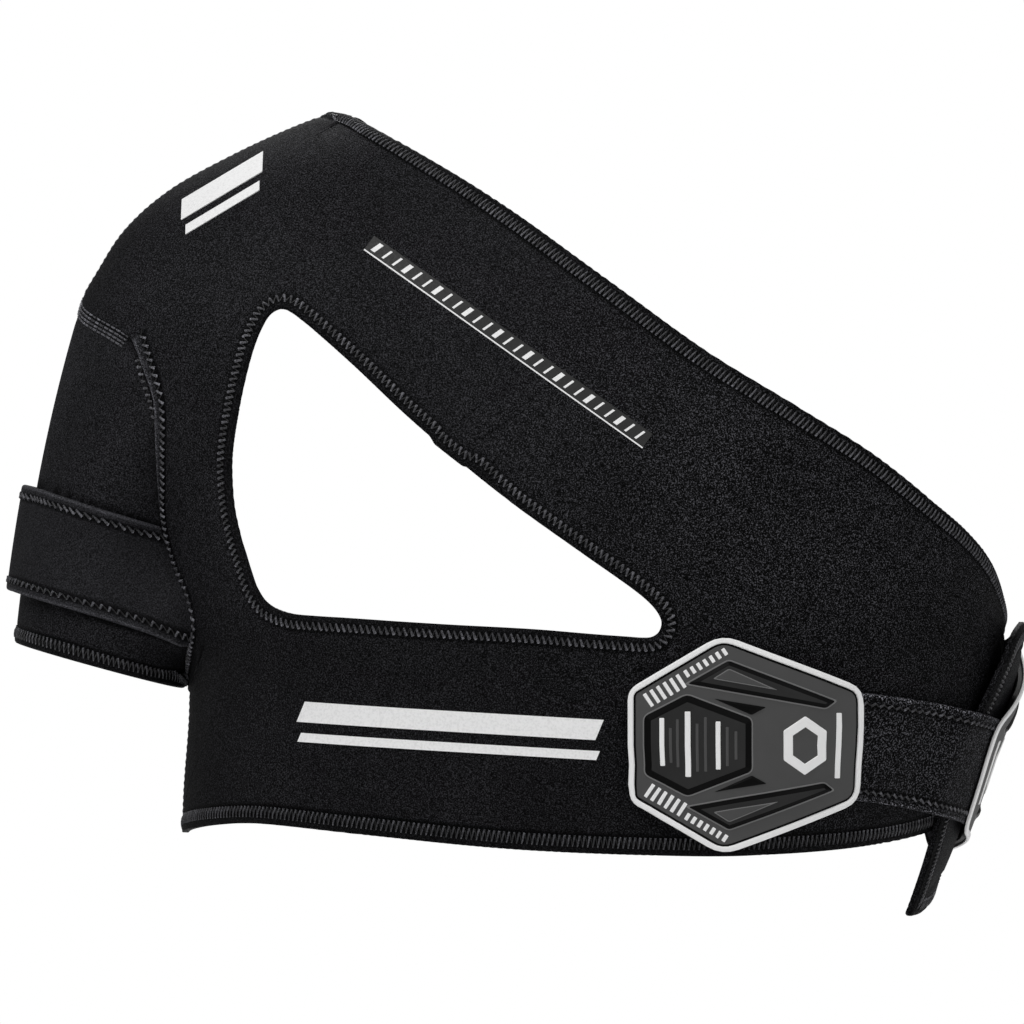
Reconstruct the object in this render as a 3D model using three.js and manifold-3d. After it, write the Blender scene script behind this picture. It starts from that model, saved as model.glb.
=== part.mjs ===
// Neoprene shoulder support: a chest wrap of two panels with a sleeve, an arm strap, and a side strap
// between two moulded patches, in the form that it has when it is worn.
// Millimetres, +Z up. The wearer faces -Y, and +X runs from the supported shoulder to the other side.
// The origin is the top of the supported shoulder, where the wrap sits.
import * as THREE from 'three';
import Module from 'manifold-3d';
import { mergeVertices } from 'three/addons/utils/BufferGeometryUtils.js';
import { TessellateModifier } from 'three/addons/modifiers/TessellateModifier.js';

const wasm = await Module();
wasm.setup();

// Driving sizes
const WALL = 3;
const GAP = 0.35;
const SEAM_GAP = 0.7;
const ROUND_RIGHT = 112;
const CHEST_CROWN = 0.14;
const STRAP_WIDTH = 50;
const STRAP_THICKNESS = 2.5;
const FLAP_GAP = 1.8;
const FLAP_LAP = { from: 1.9, to: 2.6 };
const FLAP_FLARE = { rise: 4.5, from: 2.7, to: 3.1, endsBelow: -285, fullAbove: -228 };
const BACK_WINDOW = { x: 117, z: -170, grow: 1.07 };

// The worn body as level sections of its outer skin: the height, the left and right extremes in X,
// half the depth in Y, and the width of the rounded left side.
const BODY = [
  { z: 24, left: 52, right: 349, depth: 8, roundLeft: 44 },
  { z: 18, left: 34, right: 349, depth: 17, roundLeft: 52 },
  { z: 10, left: 13, right: 349, depth: 30, roundLeft: 60 },
  { z: -2, left: -13, right: 349, depth: 45, roundLeft: 68 },
  { z: -18, left: -42, right: 349, depth: 60, roundLeft: 79 },
  { z: -36, left: -63, right: 349, depth: 72, roundLeft: 87 },
  { z: -56, left: -76.5, right: 349, depth: 83, roundLeft: 92 },
  { z: -74, left: -85.5, right: 349, depth: 91, roundLeft: 95 },
  { z: -96, left: -83.5, right: 349, depth: 98, roundLeft: 99 },
  { z: -122, left: -74, right: 349, depth: 105, roundLeft: 104 },
  { z: -150, left: -63, right: 349, depth: 111, roundLeft: 108 },
  { z: -180, left: -54, right: 349, depth: 115, roundLeft: 108 },
  { z: -206, left: -47, right: 349, depth: 117, roundLeft: 108 },
  { z: -228, left: -42, right: 349, depth: 118, roundLeft: 108 },
  { z: -246, left: -35.2, right: 346.5, depth: 118, roundLeft: 109 },
  { z: -262, left: -33.9, right: 343, depth: 117, roundLeft: 110 },
  { z: -300, left: -36.5, right: 330.5, depth: 115, roundLeft: 110 },
  { z: -330, left: -37.5, right: 319, depth: 112, roundLeft: 110 },
  { z: -362, left: -38, right: 304, depth: 108, roundLeft: 108 },
];

// Each row of these tables is a section across a panel: where it starts on the rim of the window, and
// where it ends on the outer edge. A place on the body is given by x and z, or by girth and z where it
// lies on a side seam (girth 0) or past the front's right-hand side (girth 3).
const NECK = [
  { windowX: 13, windowZ: -76, girth: 0, z: 18, corner: true },
  { windowX: 15.5, windowZ: -77.3, x: 42.5, z: 15.8 },
  { windowX: 18, windowZ: -79, x: 50.5, z: 11.5 },
  { windowX: 26, windowZ: -85.5, x: 64, z: 3.5 },
  { windowX: 45, windowZ: -102.5, x: 110, z: -25 },
  { windowX: 72, windowZ: -128, x: 159, z: -60.5 },
  { windowX: 110, windowZ: -160, x: 207, z: -95.5 },
  { windowX: 150, windowZ: -189, x: 252, z: -123 },
  { windowX: 165, windowZ: -199.5, x: 285, z: -143.5 },
  { windowX: 174, windowZ: -206, x: 312, z: -164.5 },
];
const FRONT_TIP = [
  { windowX: 180, windowZ: -211, x: 329, z: -178.5 },
  { windowX: 184, windowZ: -215.5, x: 341, z: -192.5 },
  { windowX: 186, windowZ: -219.5, girth: 2.93, z: -211 },
  { windowX: 186, windowZ: -222.5, girth: 3.2, z: -228 },
  { windowX: 184.5, windowZ: -225.5, girth: 3.3, z: -268 },
  { windowX: 181.5, windowZ: -227.3, girth: 3.26, z: -310, corner: true },
  { windowX: 177.5, windowZ: -227.6, girth: 2.84, z: -316 },
  { windowX: 171.5, windowZ: -227.2, x: 290, z: -323.5 },
];
const BACK_FLAP = [
  { windowX: 180, windowZ: -211, girth: 2.61, z: -186 },
  { windowX: 184, windowZ: -215, girth: 2.74, z: -213 },
  { windowX: 185.5, windowZ: -218.5, girth: 2.84, z: -230 },
  { windowX: 186.2, windowZ: -221, girth: 3.05, z: -221.5 },
  { windowX: 185.8, windowZ: -223.4, girth: 3.22, z: -231 },
  { windowX: 184.6, windowZ: -225.4, girth: 3.325, z: -290 },
  { windowX: 182.8, windowZ: -226.8, girth: 3.23, z: -357, corner: true },
  { windowX: 181, windowZ: -227.4, girth: 3.06, z: -354 },
  { windowX: 179, windowZ: -227.7, girth: 2.94, z: -348 },
  { windowX: 177, windowZ: -227.6, girth: 2.875, z: -333 },
  { windowX: 173, windowZ: -227.3, girth: 2.855, z: -316 },
];
const HEM = [
  { windowX: 155, windowZ: -226, x: 231, z: -328 },
  { windowX: 127, windowZ: -223.7, x: 185, z: -328 },
  { windowX: 88, windowZ: -221.6, x: 117, z: -325 },
  { windowX: 44, windowZ: -218.9, x: 48, z: -318.5 },
  { windowX: 24, windowZ: -217.8, x: 1, z: -314.3 },
  { windowX: 15, windowZ: -216.9, x: -23, z: -315.8 },
];
const SIDE = [
  { windowX: 7.1, windowZ: -214.3, girth: 0, z: -320.6, corner: true },
  { windowX: 2.1, windowZ: -210.5, girth: 0, z: -280 },
];
const ARMHOLE = [
  { windowX: -1.4, windowZ: -205, girth: 0, z: -247, corner: true },
  { windowX: -2.6, windowZ: -202, girth: 0.117, z: -240.2 },
  { windowX: -3.6, windowZ: -199, girth: 0.209, z: -233.7 },
  { windowX: -4.9, windowZ: -195, x: -31.6, z: -223.5 },
  { windowX: -6.4, windowZ: -190, x: -34.1, z: -210.5 },
  { windowX: -8.9, windowZ: -182, x: -40.9, z: -195 },
  { windowX: -12.2, windowZ: -166, x: -46.5, z: -174.7 },
  { windowX: -12.9, windowZ: -146, x: -48.3, z: -150.5 },
  { windowX: -9.2, windowZ: -122, x: -49.4, z: -119.4 },
  { windowX: -4.5, windowZ: -102, x: -55.9, z: -99.4 },
  { windowX: -0.8, windowZ: -90.5, x: -61.3, z: -87.6 },
];
const RIDGE = [
  { windowX: 3.4, windowZ: -81.5, girth: 0, z: -68.8, corner: true },
  { windowX: 6.4, windowZ: -77.7, girth: 0, z: -34 },
  { windowX: 10, windowZ: -75.8, girth: 0, z: -4 },
];

// The sleeve's hem is an ellipse seen edge-on from the front.
const SLEEVE_HEM_LEFT = new THREE.Vector3(-116, 0, -231.5);
const SLEEVE_HEM_RIGHT = new THREE.Vector3(-36.2, 0, -252.8);
const SLEEVE_HEM_HALF_DEPTH = 53;
const ARM_TILT = THREE.MathUtils.degToRad(5.5);
const SLEEVE_BOW = 0.52;

// The arm strap's edges above the sleeve's hem, halfway and how much higher they are at the outside.
// It stands off the sleeve by its ease, its slack at the outside and a little more at its front end.
const ARM_STRAP = {
  low: 22, high: 70.5, lowRise: 2, highRise: 3, endGap: 7.5, backShare: 0.86,
  ease: 0.5, slack: 3.7, slackReach: 0.62, endEase: 0.9, endFrom: 0.5, endTo: 0.8,
};

// The patches: a hexagon with a short outer end, in its own plane, with the strap along +u.
const PATCH = {
  outerEnd: -54, shoulder: -11, strapEnd: 55.2, halfHeight: 50.5, outerHalf: 25.5, strapHalf: 26,
  corner: 8, tuck: 15, inset: 0.9, rim: 3, reliefCorner: 1.5,
  seat: 0.7, ledge: 3.2, field: 4.4, top: 5.2, relief: 5.8,
  reliefs: [
    [[-46.5, -13.2], [-27, -23.3], [2.8, -12], [2.8, 12], [-27, 23.3], [-46.5, 13.2]],
    [[-26.5, 28.2], [39.5, 19.5], [-7.8, 38.5]],
    [[-26.5, -28.2], [-7.8, -38.5], [39.5, -19.5]],
  ],
};
const FRONT_PATCH = { x: 224.3, z: -276.7 };
const BACK_PATCH = { girth: 2.852, z: -281.5, tilt: THREE.MathUtils.degToRad(-10) };
const SIDE_STRAP = { tuck: 9, climbFrom: 2.5, climbTo: 2.645 };

const LOOKS = {
  neoprene: { color: 0x18191b, roughness: 0.9 },
  binding: { color: 0x1d1e20, roughness: 0.85 },
  rubber: { color: 0x3d3e40, roughness: 0.5 },
};

// Steps and rounds of the numeric helpers
const GIRTH_STEP = 0.004;
const HEIGHT_STEP = 0.5;
const GIRTH_ROUNDS = 8;
const WALK_STEPS = 12;
const BISECTIONS = 26;
const WELD = 1e-3;

const smooth = (value, from, to) => THREE.MathUtils.smoothstep(value, from, to);

// A smooth curve through one column of the body's table.
function bodyColumn(name) {
  const slope = (i) => {
    const before = BODY[Math.max(i - 1, 0)];
    const after = BODY[Math.min(i + 1, BODY.length - 1)];
    return (after[name] - before[name]) / (after.z - before.z);
  };
  return (z) => {
    const rowsAbove = BODY.filter((row) => row.z >= z).length;
    const i = THREE.MathUtils.clamp(rowsAbove - 1, 0, BODY.length - 2);
    const [row, next] = [BODY[i], BODY[i + 1]];
    const span = next.z - row.z;
    return hermite((z - row.z) / span, row[name], slope(i) * span, next[name], slope(i + 1) * span);
  };
}

function hermite(t, a, slopeA, b, slopeB) {
  const bend = 2 * (a - b) + slopeA + slopeB;
  return a + t * (slopeA + t * (3 * (b - a) - 2 * slopeA - slopeB + t * bend));
}

const left = bodyColumn('left');
const right = bodyColumn('right');
const depth = bodyColumn('depth');
const roundLeft = bodyColumn('roundLeft');

// Girth runs round a level section: 0 at the left side, 1 to 2 across the front, 3 at the right side.
// The section is deepest in the middle of the front, and crown is the share of the depth at a girth.
const crown = (girth) => 1 - CHEST_CROWN * Math.cos(girth * Math.PI / 3) ** 2;

function bodyPoint(girth, z) {
  const frontLeft = left(z) + roundLeft(z);
  const frontRight = right(z) - ROUND_RIGHT;
  const y = -depth(z) * crown(girth);
  if (girth < 1) {
    const turn = girth * Math.PI / 2;
    return new THREE.Vector3(frontLeft - roundLeft(z) * Math.cos(turn), y * Math.sin(turn), z);
  }
  if (girth < 2) return new THREE.Vector3(THREE.MathUtils.lerp(frontLeft, frontRight, girth - 1), y, z);
  const turn = (girth - 2) * Math.PI / 2;
  return new THREE.Vector3(frontRight + ROUND_RIGHT * Math.sin(turn), y * Math.cos(turn), z);
}

// The girth of a point on the skin. The crown depends on the girth, so it is found in a few rounds.
function bodyGirth({ x, y, z }) {
  const frontLeft = left(z) + roundLeft(z);
  const frontRight = right(z) - ROUND_RIGHT;
  if (x >= frontLeft && x < frontRight) return 1 + (x - frontLeft) / (frontRight - frontLeft);
  let girth = x < frontLeft ? 0.5 : 2.5;
  for (let i = 0; i < GIRTH_ROUNDS; i += 1) {
    const forward = -y / (depth(z) * crown(girth));
    const turn = x < frontLeft
      ? Math.atan2(forward, (frontLeft - x) / roundLeft(z))
      : Math.PI + Math.atan2((x - frontRight) / ROUND_RIGHT, forward);
    girth = turn * 2 / Math.PI;
  }
  return girth;
}

function girthAtX(x, z) {
  const frontLeft = left(z) + roundLeft(z);
  const frontRight = right(z) - ROUND_RIGHT;
  if (x < frontLeft) return Math.acos(Math.min((frontLeft - x) / roundLeft(z), 1)) * 2 / Math.PI;
  if (x < frontRight) return 1 + (x - frontLeft) / (frontRight - frontLeft);
  return 2 + Math.asin(Math.min((x - frontRight) / ROUND_RIGHT, 1)) * 2 / Math.PI;
}

function bodyNormal(girth, z) {
  const round = bodyPoint(girth + GIRTH_STEP, z).sub(bodyPoint(girth - GIRTH_STEP, z));
  const up = bodyPoint(girth, z + HEIGHT_STEP).sub(bodyPoint(girth, z - HEIGHT_STEP));
  return round.cross(up).normalize();
}

function skin(girth, z, rise) {
  return bodyPoint(girth, z).addScaledVector(bodyNormal(girth, z), rise);
}

// The girth reached by walking a distance round the section from a starting girth.
function walkGirth(girth, z, distance) {
  let at = girth;
  for (let i = 0; i < WALK_STEPS; i += 1) {
    const stride = bodyPoint(at + GIRTH_STEP, z).distanceTo(bodyPoint(at - GIRTH_STEP, z));
    at += distance / WALK_STEPS * 2 * GIRTH_STEP / stride;
  }
  return at;
}

// How far the back flap's outer skin lies above the body, where it laps over the front tip.
function flapRise(girth, z) {
  const { rise, from, to, endsBelow, fullAbove } = FLAP_FLARE;
  const lapped = (WALL + FLAP_GAP) * smooth(girth, FLAP_LAP.from, FLAP_LAP.to);
  return lapped + rise * smooth(girth, from, to) * smooth(z, endsBelow, fullAbove);
}

// A closed curve through points, sharp where a row says that it has a corner.
function loopThrough(points, corners) {
  const count = points.length;
  const at = (i) => points[(i + count) % count];
  const chord = (i) => at(i).distanceTo(at(i + 1));
  const slope = (i, side) => {
    const isCorner = corners[(i + count) % count];
    const [from, to] = isCorner ? [Math.min(i, i + side), Math.max(i, i + side)] : [i - 1, i + 1];
    const length = isCorner ? chord(from) : chord(i) + chord(i - 1);
    return at(to).clone().sub(at(from)).divideScalar(length);
  };
  return (place) => {
    const i = Math.floor(place);
    const span = chord(i);
    const start = slope(i, 1).multiplyScalar(span);
    const end = slope(i + 1, -1).multiplyScalar(span);
    const value = (axis) => hermite(place - i, at(i)[axis], start[axis], at(i + 1)[axis], end[axis]);
    return new THREE.Vector3(value('x'), value('y'), value('z'));
  };
}

// A panel as a place function: along counts its table's rows, and across runs from the outer edge (0) to
// the window (1).
function panelCut(rows) {
  const edgePoints = rows.map((row) => bodyPoint(row.girth ?? girthAtX(row.x, row.z), row.z));
  const windowPoints = rows.map((row) => bodyPoint(girthAtX(row.windowX, row.windowZ), row.windowZ));
  const edge = loopThrough(edgePoints, rows.map((row) => row.corner));
  const window = loopThrough(windowPoints, rows.map(() => false));
  return (along, across) => {
    const outer = edge(along);
    const inner = window(along);
    const girth = THREE.MathUtils.lerp(bodyGirth(outer), bodyGirth(inner), across);
    return { girth, z: THREE.MathUtils.lerp(outer.z, inner.z, across) };
  };
}

// A closed solid from a sheet with an outer and an inner layer: u closes on itself or ends in a wall.
function thickSheet(uCount, vCount, closed, place) {
  const columns = closed ? uCount : uCount + 1;
  const positions = [];
  for (const layer of [1, 0]) {
    for (let u = 0; u < columns; u += 1) {
      for (let v = 0; v <= vCount; v += 1) positions.push(...place(u, v, layer).toArray());
    }
  }
  const layerSize = columns * (vCount + 1);
  const id = (u, v, layer) => (1 - layer) * layerSize + (u % columns) * (vCount + 1) + v;
  const index = [];
  const quad = (a, b, c, d) => index.push(a, b, c, a, c, d);
  for (let u = 0; u < uCount; u += 1) {
    for (let v = 0; v < vCount; v += 1) {
      quad(id(u, v, 1), id(u + 1, v, 1), id(u + 1, v + 1, 1), id(u, v + 1, 1));
      quad(id(u, v, 0), id(u, v + 1, 0), id(u + 1, v + 1, 0), id(u + 1, v, 0));
    }
    quad(id(u, 0, 0), id(u + 1, 0, 0), id(u + 1, 0, 1), id(u, 0, 1));
    quad(id(u, vCount, 1), id(u + 1, vCount, 1), id(u + 1, vCount, 0), id(u, vCount, 0));
  }
  for (let v = 0; v < vCount && !closed; v += 1) {
    quad(id(0, v, 0), id(0, v, 1), id(0, v + 1, 1), id(0, v + 1, 0));
    quad(id(uCount, v, 1), id(uCount, v, 0), id(uCount, v + 1, 0), id(uCount, v + 1, 1));
  }
  const geometry = new THREE.BufferGeometry();
  geometry.setAttribute('position', new THREE.Float32BufferAttribute(positions, 3));
  geometry.setIndex(index);
  return facingOut(geometry);
}

function facingOut(geometry) {
  const position = geometry.getAttribute('position');
  const index = geometry.getIndex().array;
  const corner = (i) => new THREE.Vector3().fromBufferAttribute(position, index[i]);
  let volume = 0;
  for (let i = 0; i < index.length; i += 3) volume += corner(i).dot(corner(i + 1).cross(corner(i + 2)));
  if (volume < 0) {
    for (let i = 0; i < index.length; i += 3) [index[i + 1], index[i + 2]] = [index[i + 2], index[i + 1]];
  }
  geometry.computeVertexNormals();
  return geometry;
}

const mirrored = (point) => new THREE.Vector3(point.x, -point.y, point.z);

// Panels
const COLUMNS_PER_ROW = 2;
const ACROSS = 8;
const frontRows = [...NECK, ...FRONT_TIP, ...HEM, ...SIDE, ...ARMHOLE, ...RIDGE];
const backRows = [...NECK, ...BACK_FLAP, ...HEM, ...SIDE, ...ARMHOLE, ...RIDGE].map((row) => ({
  ...row,
  windowX: THREE.MathUtils.lerp(BACK_WINDOW.x, row.windowX, BACK_WINDOW.grow),
  windowZ: THREE.MathUtils.lerp(BACK_WINDOW.z, row.windowZ, BACK_WINDOW.grow),
}));
const frontCut = panelCut(frontRows);
const backCut = panelCut(backRows);

function panel(rows, cut, rise, side) {
  return thickSheet(rows.length * COLUMNS_PER_ROW, ACROSS, true, (u, v, layer) => {
    const { girth, z } = cut(u / COLUMNS_PER_ROW, v / ACROSS);
    const point = skin(girth, z, rise(girth, z) - (1 - layer) * WALL);
    point.y -= GAP / 2;
    return side > 0 ? mirrored(point) : point;
  });
}

// Sleeve
const SLEEVE_RINGS = 8;
const EDGE_STEP = 0.004;
const armholeStart = frontRows.indexOf(ARMHOLE[0]);
const armholeSpan = ARMHOLE.length;
const ARMHOLE_STEPS = armholeSpan * COLUMNS_PER_ROW;

// The armhole's edge from its top, down the front to the armpit and up the back, with the skin's normal.
function armholeEdge(place) {
  const turn = THREE.MathUtils.euclideanModulo(place, 2);
  const share = turn < 1 ? 1 - turn : turn - 1;
  const { girth, z } = frontCut(armholeStart + share * armholeSpan, 0);
  const point = bodyPoint(girth, z);
  const normal = bodyNormal(girth, z);
  return turn < 1 ? { point, normal } : { point: mirrored(point), normal: mirrored(normal) };
}

const sleeveCentre = SLEEVE_HEM_LEFT.clone().lerp(SLEEVE_HEM_RIGHT, 0.5);
const sleeveAcross = SLEEVE_HEM_RIGHT.clone().sub(SLEEVE_HEM_LEFT).divideScalar(2);
const sleeveUp = new THREE.Vector3(-sleeveAcross.z, 0, sleeveAcross.x).normalize();
const armUp = new THREE.Vector3(Math.sin(ARM_TILT), 0, Math.cos(ARM_TILT));

// One line of the sleeve from the seam to the hem, as a quadratic curve. At the seam it meets the panel's
// edge from below, or at the armpit from beside it, and clears it on the side that it turns to.
function sleeveLine(place) {
  const { point, normal } = armholeEdge(place);
  const angle = (1 - THREE.MathUtils.euclideanModulo(place, 2)) * Math.PI;
  const hem = sleeveCentre.clone().addScaledVector(sleeveAcross, Math.cos(angle));
  hem.y = -SLEEVE_HEM_HALF_DEPTH * Math.sin(angle);
  const middle = hem.clone().addScaledVector(armUp, SLEEVE_BOW * point.clone().sub(hem).dot(armUp));
  const along = armholeEdge(place + EDGE_STEP).point.sub(armholeEdge(place - EDGE_STEP).point);
  const offPanel = along.cross(normal).normalize();
  const leaving = middle.clone().sub(point);
  const turn = Math.atan2(leaving.dot(normal), leaving.dot(offPanel));
  const sunk = WALL * Math.max(Math.cos(turn), 0) * Math.sin(angle) ** 2;
  point.addScaledVector(offPanel, SEAM_GAP * Math.cos(turn / 2));
  point.addScaledVector(normal, SEAM_GAP * Math.sin(turn / 2) - sunk);
  return new THREE.QuadraticBezierCurve3(point, middle, hem);
}

function sleevePoint(place, share) {
  return sleeveLine(place).getPoint(share);
}

function sleeveNormal(place, share) {
  const round = sleevePoint(place + EDGE_STEP, share).sub(sleevePoint(place - EDGE_STEP, share));
  const down = sleeveLine(place).getTangent(share);
  return down.cross(round).normalize();
}

function sleeve() {
  return thickSheet(2 * ARMHOLE_STEPS, SLEEVE_RINGS, true, (u, v, layer) => {
    const place = u / ARMHOLE_STEPS;
    const share = v / SLEEVE_RINGS;
    return sleevePoint(place, share).addScaledVector(sleeveNormal(place, share), (layer - 1) * WALL);
  });
}

// Arm strap
const ARM_STRAP_STEPS = 40;
const ARM_STRAP_ACROSS = 6;
const hemHeight = (point) => point.clone().sub(sleeveCentre).dot(sleeveUp);

// The value between two ends at which a falling function passes its target.
function whereFalls(value, target, from, to) {
  let [low, high] = [from, to];
  for (let i = 0; i < BISECTIONS; i += 1) {
    const middle = (low + high) / 2;
    if (value(middle) > target) low = middle;
    else high = middle;
  }
  return low;
}

const strapEdge = (place, half, rise) => half + rise * Math.cos(place * Math.PI);
const armStrapLow = (place) => strapEdge(place, ARM_STRAP.low, ARM_STRAP.lowRise);
const armStrapHigh = (place) => strapEdge(place, ARM_STRAP.high, ARM_STRAP.highRise);

// The place on the front seam where an edge of the strap meets it.
function strapEnd(edge) {
  const above = (place) => hemHeight(sleevePoint(place, 0)) - edge(place);
  return whereFalls(above, ARM_STRAP.endGap, 0, 1);
}

function armStrap() {
  const ends = [strapEnd(armStrapLow), strapEnd(armStrapHigh)];
  return thickSheet(ARM_STRAP_STEPS, ARM_STRAP_ACROSS, false, (u, v, layer) => {
    const share = v / ARM_STRAP_ACROSS;
    const front = THREE.MathUtils.lerp(ends[0], ends[1], share);
    const back = -ends[1] * ARM_STRAP.backShare;
    const place = THREE.MathUtils.lerp(front, back, u / ARM_STRAP_STEPS);
    const height = THREE.MathUtils.lerp(armStrapLow(place), armStrapHigh(place), share);
    const along = whereFalls((at) => hemHeight(sleevePoint(place, at)), height, 0, 1);
    const slack = ARM_STRAP.slack * smooth(1 - Math.abs(place) / ARM_STRAP.slackReach, 0, 1);
    const ease = ARM_STRAP.ease + ARM_STRAP.endEase * smooth(place, ARM_STRAP.endFrom, ARM_STRAP.endTo);
    const out = ease + slack + layer * STRAP_THICKNESS;
    return sleevePoint(place, along).addScaledVector(sleeveNormal(place, along), out);
  });
}

// A patch's own plane laid on the body: u runs round the section and v up.
function frontPatchPlace(u, v) {
  const z = FRONT_PATCH.z + v;
  return { girth: walkGirth(girthAtX(FRONT_PATCH.x, z), z, u), z };
}

function backPatchPlace(u, v) {
  const { girth, tilt } = BACK_PATCH;
  const z = BACK_PATCH.z + v * Math.cos(tilt) + u * Math.sin(tilt);
  return { girth: walkGirth(girth, z, u * Math.cos(tilt) - v * Math.sin(tilt)), z };
}

function onFront(u, v, out) {
  const { girth, z } = frontPatchPlace(u, v);
  return skin(girth, z, out);
}

function onFlap(u, v, out) {
  const { girth, z } = backPatchPlace(u, v);
  return mirrored(skin(girth, z, flapRise(girth, z) + out));
}

// Patches
const BEND_EDGE = 19;
const BEND_PASSES = 8;
const CORNER_SEGMENTS = 2;

// A patch's outline, drawn in from its edge, and cut shorter at the strap's end.
function hexagon(inset, shorter) {
  const shrink = 1 - inset / PATCH.halfHeight;
  const strapSide = PATCH.strapEnd - shorter;
  const slope = (PATCH.halfHeight - PATCH.strapHalf) / (PATCH.strapEnd - PATCH.shoulder);
  const strapHalf = PATCH.strapHalf + slope * shorter;
  const lower = [
    [PATCH.outerEnd, -PATCH.outerHalf],
    [PATCH.shoulder, -PATCH.halfHeight],
    [strapSide, -strapHalf],
  ];
  const upper = lower.map(([u, v]) => [u, -v]).reverse();
  return [...lower, ...upper].map(([u, v]) => new THREE.Vector2(u * shrink, v * shrink));
}

function rounded(points, radius) {
  const shape = new THREE.Shape();
  points.forEach((corner, i) => {
    const before = points[(i + points.length - 1) % points.length];
    const after = points[(i + 1) % points.length];
    const enter = corner.clone().add(before.clone().sub(corner).setLength(radius));
    const leave = corner.clone().add(after.clone().sub(corner).setLength(radius));
    if (i === 0) shape.moveTo(enter.x, enter.y);
    else shape.lineTo(enter.x, enter.y);
    shape.quadraticCurveTo(corner.x, corner.y, leave.x, leave.y);
  });
  shape.closePath();
  return shape;
}

function slab(shape, low, high) {
  const geometry = new THREE.ExtrudeGeometry(shape, {
    depth: high - low, bevelEnabled: false, curveSegments: CORNER_SEGMENTS,
  });
  return geometry.translate(0, 0, low);
}

function solidOf(geometry) {
  geometry.deleteAttribute('normal');
  geometry.deleteAttribute('uv');
  const merged = mergeVertices(geometry);
  const vertProperties = merged.getAttribute('position').array;
  const triVerts = Uint32Array.from(merged.getIndex().array);
  return new wasm.Manifold(new wasm.Mesh({ numProp: 3, vertProperties, triVerts }));
}

// The flat patch: a base, a ledge over the strap's end, a raised rim and the raised relief on its field.
function flatPatch() {
  const rim = rounded(hexagon(0, 0), PATCH.corner);
  rim.holes.push(rounded(hexagon(PATCH.rim, 0), PATCH.corner - PATCH.rim));
  const relief = PATCH.reliefs.map((outline) => {
    const points = outline.map(([u, v]) => new THREE.Vector2(u, v));
    return slab(rounded(points, PATCH.reliefCorner), PATCH.ledge, PATCH.relief);
  });
  const layers = [
    slab(rounded(hexagon(PATCH.inset, PATCH.tuck), PATCH.corner), PATCH.seat, PATCH.field),
    slab(rounded(hexagon(0, 0), PATCH.corner), PATCH.ledge, PATCH.field),
    slab(rim, PATCH.ledge, PATCH.top),
    ...relief,
  ];
  return layers.map(solidOf).reduce((whole, layer) => whole.add(layer)).getMesh();
}

function bentPatch(flat, bend) {
  let geometry = new THREE.BufferGeometry();
  geometry.setAttribute('position', new THREE.BufferAttribute(new Float32Array(flat.vertProperties), 3));
  geometry.setIndex([...flat.triVerts]);
  geometry = new TessellateModifier(BEND_EDGE, BEND_PASSES).modify(geometry.toNonIndexed());
  geometry = mergeVertices(geometry, WELD);
  const position = geometry.getAttribute('position');
  for (let i = 0; i < position.count; i += 1) {
    position.setXYZ(i, ...bend(position.getX(i), position.getY(i), position.getZ(i)).toArray());
  }
  return facingOut(geometry);
}

// Side strap. The round trip is the girth all the way round a section.
const ROUND_TRIP = 6;
const SIDE_STRAP_STEPS = 18;
const SIDE_STRAP_ACROSS = 3;

// The strap runs from under the front patch's ledge to under the back patch's, and climbs over the flap.
function sideStrap() {
  const tucked = PATCH.strapEnd - SIDE_STRAP.tuck;
  return thickSheet(SIDE_STRAP_STEPS, SIDE_STRAP_ACROSS, false, (u, v, layer) => {
    const across = STRAP_WIDTH * (v / SIDE_STRAP_ACROSS - 0.5);
    const start = frontPatchPlace(tucked, across);
    const end = backPatchPlace(tucked, across);
    const girth = THREE.MathUtils.lerp(start.girth, ROUND_TRIP - end.girth, u / SIDE_STRAP_STEPS);
    const z = THREE.MathUtils.lerp(start.z, end.z, u / SIDE_STRAP_STEPS);
    const climb = smooth(girth, SIDE_STRAP.climbFrom, SIDE_STRAP.climbTo) * flapRise(ROUND_TRIP - girth, z);
    return skin(girth, z, climb + GAP + layer * STRAP_THICKNESS);
  });
}

const group = new THREE.Group();
function add(name, geometry, look) {
  const mesh = new THREE.Mesh(geometry, new THREE.MeshStandardMaterial({ ...look, metalness: 0 }));
  mesh.name = name;
  group.add(mesh);
}

add('front_panel', panel(frontRows, frontCut, () => 0, -1), LOOKS.neoprene);
add('back_panel', panel(backRows, backCut, flapRise, 1), LOOKS.neoprene);
add('sleeve', sleeve(), LOOKS.neoprene);
add('arm_strap', armStrap(), LOOKS.binding);
add('side_strap', sideStrap(), LOOKS.binding);
const patch = flatPatch();
add('front_patch', bentPatch(patch, onFront), LOOKS.rubber);
add('back_patch', bentPatch(patch, onFlap), LOOKS.rubber);

export default group;
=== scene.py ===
import math

import bmesh
import bpy
import numpy as np
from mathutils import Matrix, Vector, kdtree


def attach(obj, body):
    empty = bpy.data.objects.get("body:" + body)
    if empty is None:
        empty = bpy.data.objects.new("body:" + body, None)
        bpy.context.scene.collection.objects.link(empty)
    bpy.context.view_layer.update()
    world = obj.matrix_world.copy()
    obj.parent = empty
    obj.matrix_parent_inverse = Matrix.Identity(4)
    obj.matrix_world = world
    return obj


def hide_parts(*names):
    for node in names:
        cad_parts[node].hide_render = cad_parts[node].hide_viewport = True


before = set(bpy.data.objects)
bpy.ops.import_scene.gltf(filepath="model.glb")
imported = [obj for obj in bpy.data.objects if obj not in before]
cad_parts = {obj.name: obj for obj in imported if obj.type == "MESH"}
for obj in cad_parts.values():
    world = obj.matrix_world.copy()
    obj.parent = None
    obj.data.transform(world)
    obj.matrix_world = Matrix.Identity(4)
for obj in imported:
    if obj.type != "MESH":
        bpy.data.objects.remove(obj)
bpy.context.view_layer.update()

# Sizes in millimetres, as in the part's source. Meshes are scaled to metres when they are made.
MM = 0.001
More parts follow.
